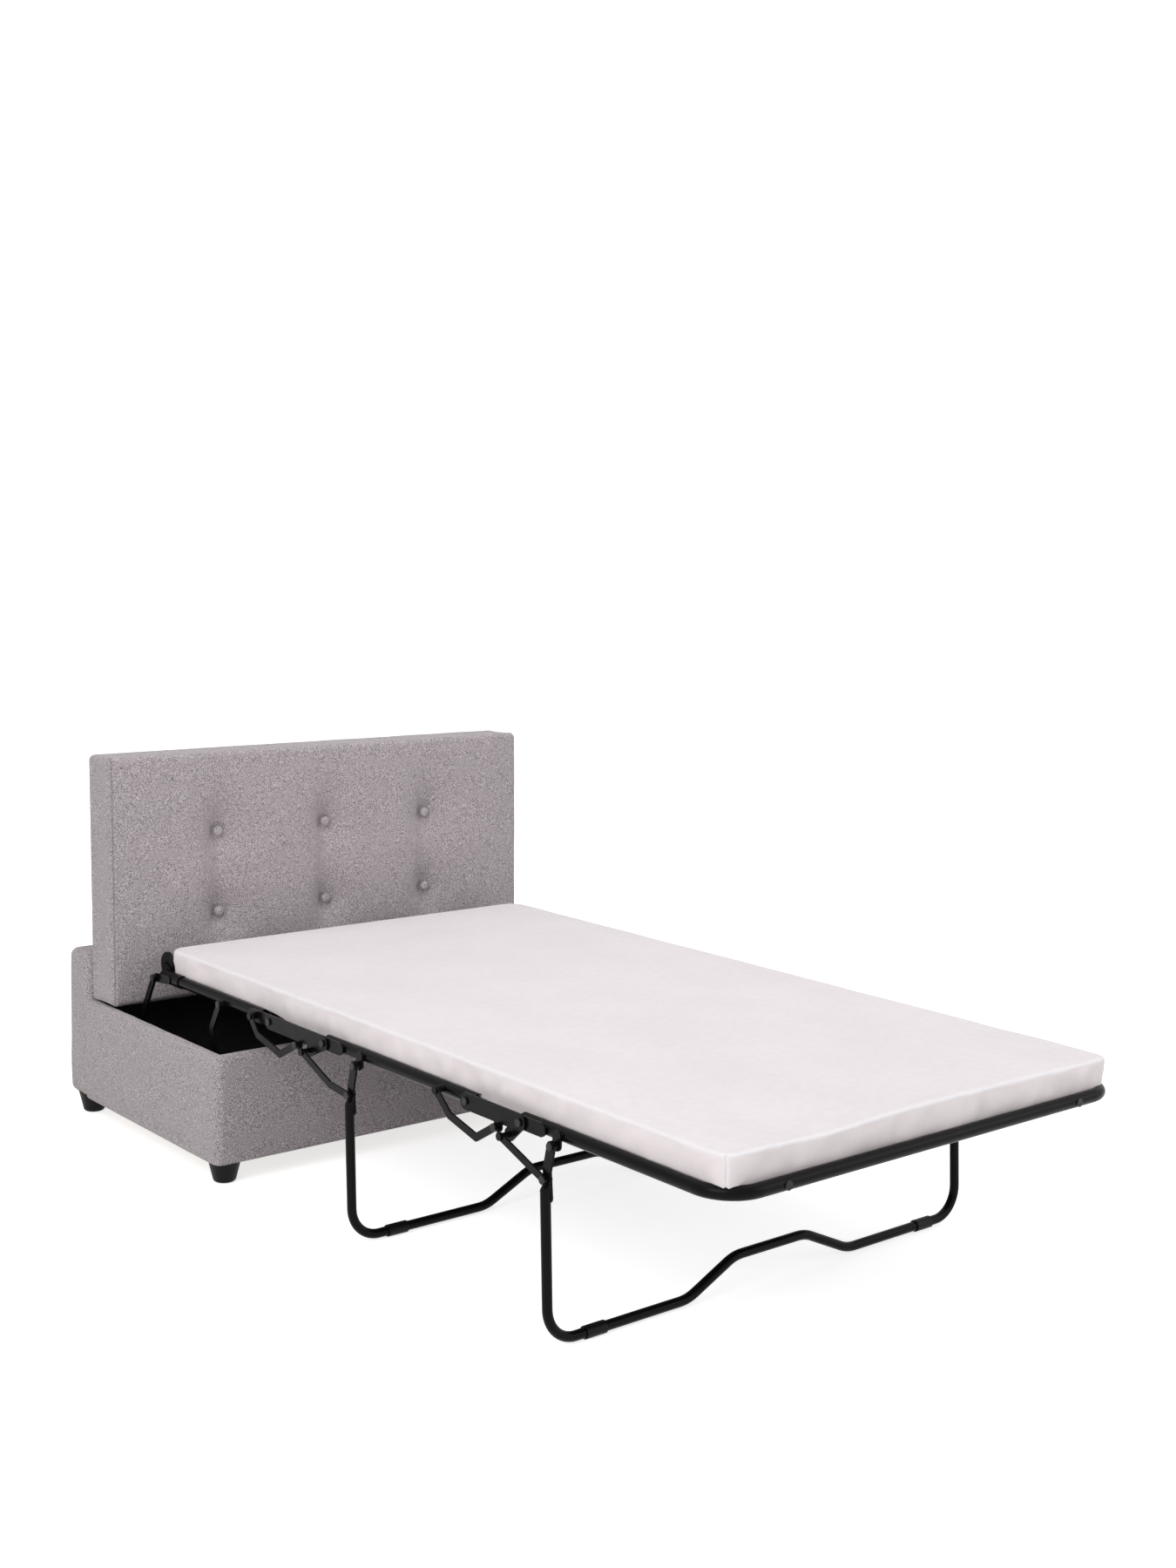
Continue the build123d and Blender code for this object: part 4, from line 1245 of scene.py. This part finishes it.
def surround(scene):
    """White behind the bed, and softer even light on it."""
    world = bpy.data.worlds.new("studio_surround")
    scene.world = world
    world.use_nodes = True
    tree = world.node_tree
    ambient = scene.bed_stage.ambient
    shade = set_inputs(tree.nodes["Background"], {"Color": (*white, 1.0)})
    level = reckoned(tree, "ADD", seen_directly(tree, 1 - ambient), ambient)
    tree.links.new(level, shade.inputs["Strength"])


def hang_lamp(name, place, width, power, target):
    """A large square lamp that faces the bed."""
    lamp = bpy.data.lights.new(name, "AREA")
    lamp.shape = "SQUARE"
    lamp.size = width
    lamp.energy = power
    hung = placed(name, lamp)
    hung.location = place
    hung.rotation_euler = (target - Vector(place)).to_track_quat("-Z", "Y").to_euler()


class BED_OT_make_stage(Operator):
    """Set up the camera, the pale floor, the white surround and the lamps"""
    bl_idname = "bed.make_stage"
    bl_label = "Stage"

    def execute(self, context):
        scene = context.scene
        scene.view_settings.view_transform = "Standard"
        place_camera(scene)
        lay_floor(scene)
        surround(scene)
        low, high = (Vector(corner) for corner in cad_box)
        middle = (low + high) / 2
        target = Vector((middle.x, middle.y, scene.bed_stage.aim_height))
        for name, (place, width, power) in lamps.items():
            hang_lamp(name, place, width, power, target)
        return {"FINISHED"}


class BED_PT_panel(Panel):
    """Buttons that build each part of the bed"""
    bl_label = "Ottoman bed"
    bl_idname = "BED_PT_panel"
    bl_space_type = "VIEW_3D"
    bl_region_type = "UI"
    bl_category = "Ottoman bed"

    def draw(self, context):
        for operator in operators:
            self.layout.operator(operator.bl_idname)


operators = (
    BED_OT_make_stage,
    BED_OT_finish_frame,
    BED_OT_make_lid,
    BED_OT_make_buttons,
    BED_OT_make_box_cover,
    BED_OT_make_rear_cover,
    BED_OT_make_lining,
    BED_OT_make_decks,
    BED_OT_make_leg_necks,
    BED_OT_make_mattress,
)
groups = {
    "bed_stage": StageSettings,
    "bed_finishes": Finishes,
    "bed_lid": LidSizes,
    "bed_box": BoxSizes,
    "bed_mattress": MattressSizes,
    "bed_cloth": ClothSizes,
    "bed_necks": NeckSizes,
}


def register():
    for name, group in groups.items():
        for key, field in group.__annotations__.items():
            field.keywords["name"] = key.replace("_", " ").capitalize()
        bpy.utils.register_class(group)
        setattr(bpy.types.Scene, name, PointerProperty(type=group))
    for item in (*operators, BED_PT_panel):
        bpy.utils.register_class(item)


def unregister():
    for item in (BED_PT_panel, *reversed(operators)):
        bpy.utils.unregister_class(item)
    for name, group in reversed(groups.items()):
        delattr(bpy.types.Scene, name)
        bpy.utils.unregister_class(group)


def main():
    register()
    bpy.ops.bed.make_stage()
    bpy.ops.bed.finish_frame()
    bpy.ops.bed.make_lid()
    bpy.ops.bed.make_buttons()
    bpy.ops.bed.make_box_cover()
    bpy.ops.bed.make_rear_cover()
    bpy.ops.bed.make_lining()
    bpy.ops.bed.make_decks()
    bpy.ops.bed.make_leg_necks()
    bpy.ops.bed.make_mattress()


if __name__ == "__main__":
    main()
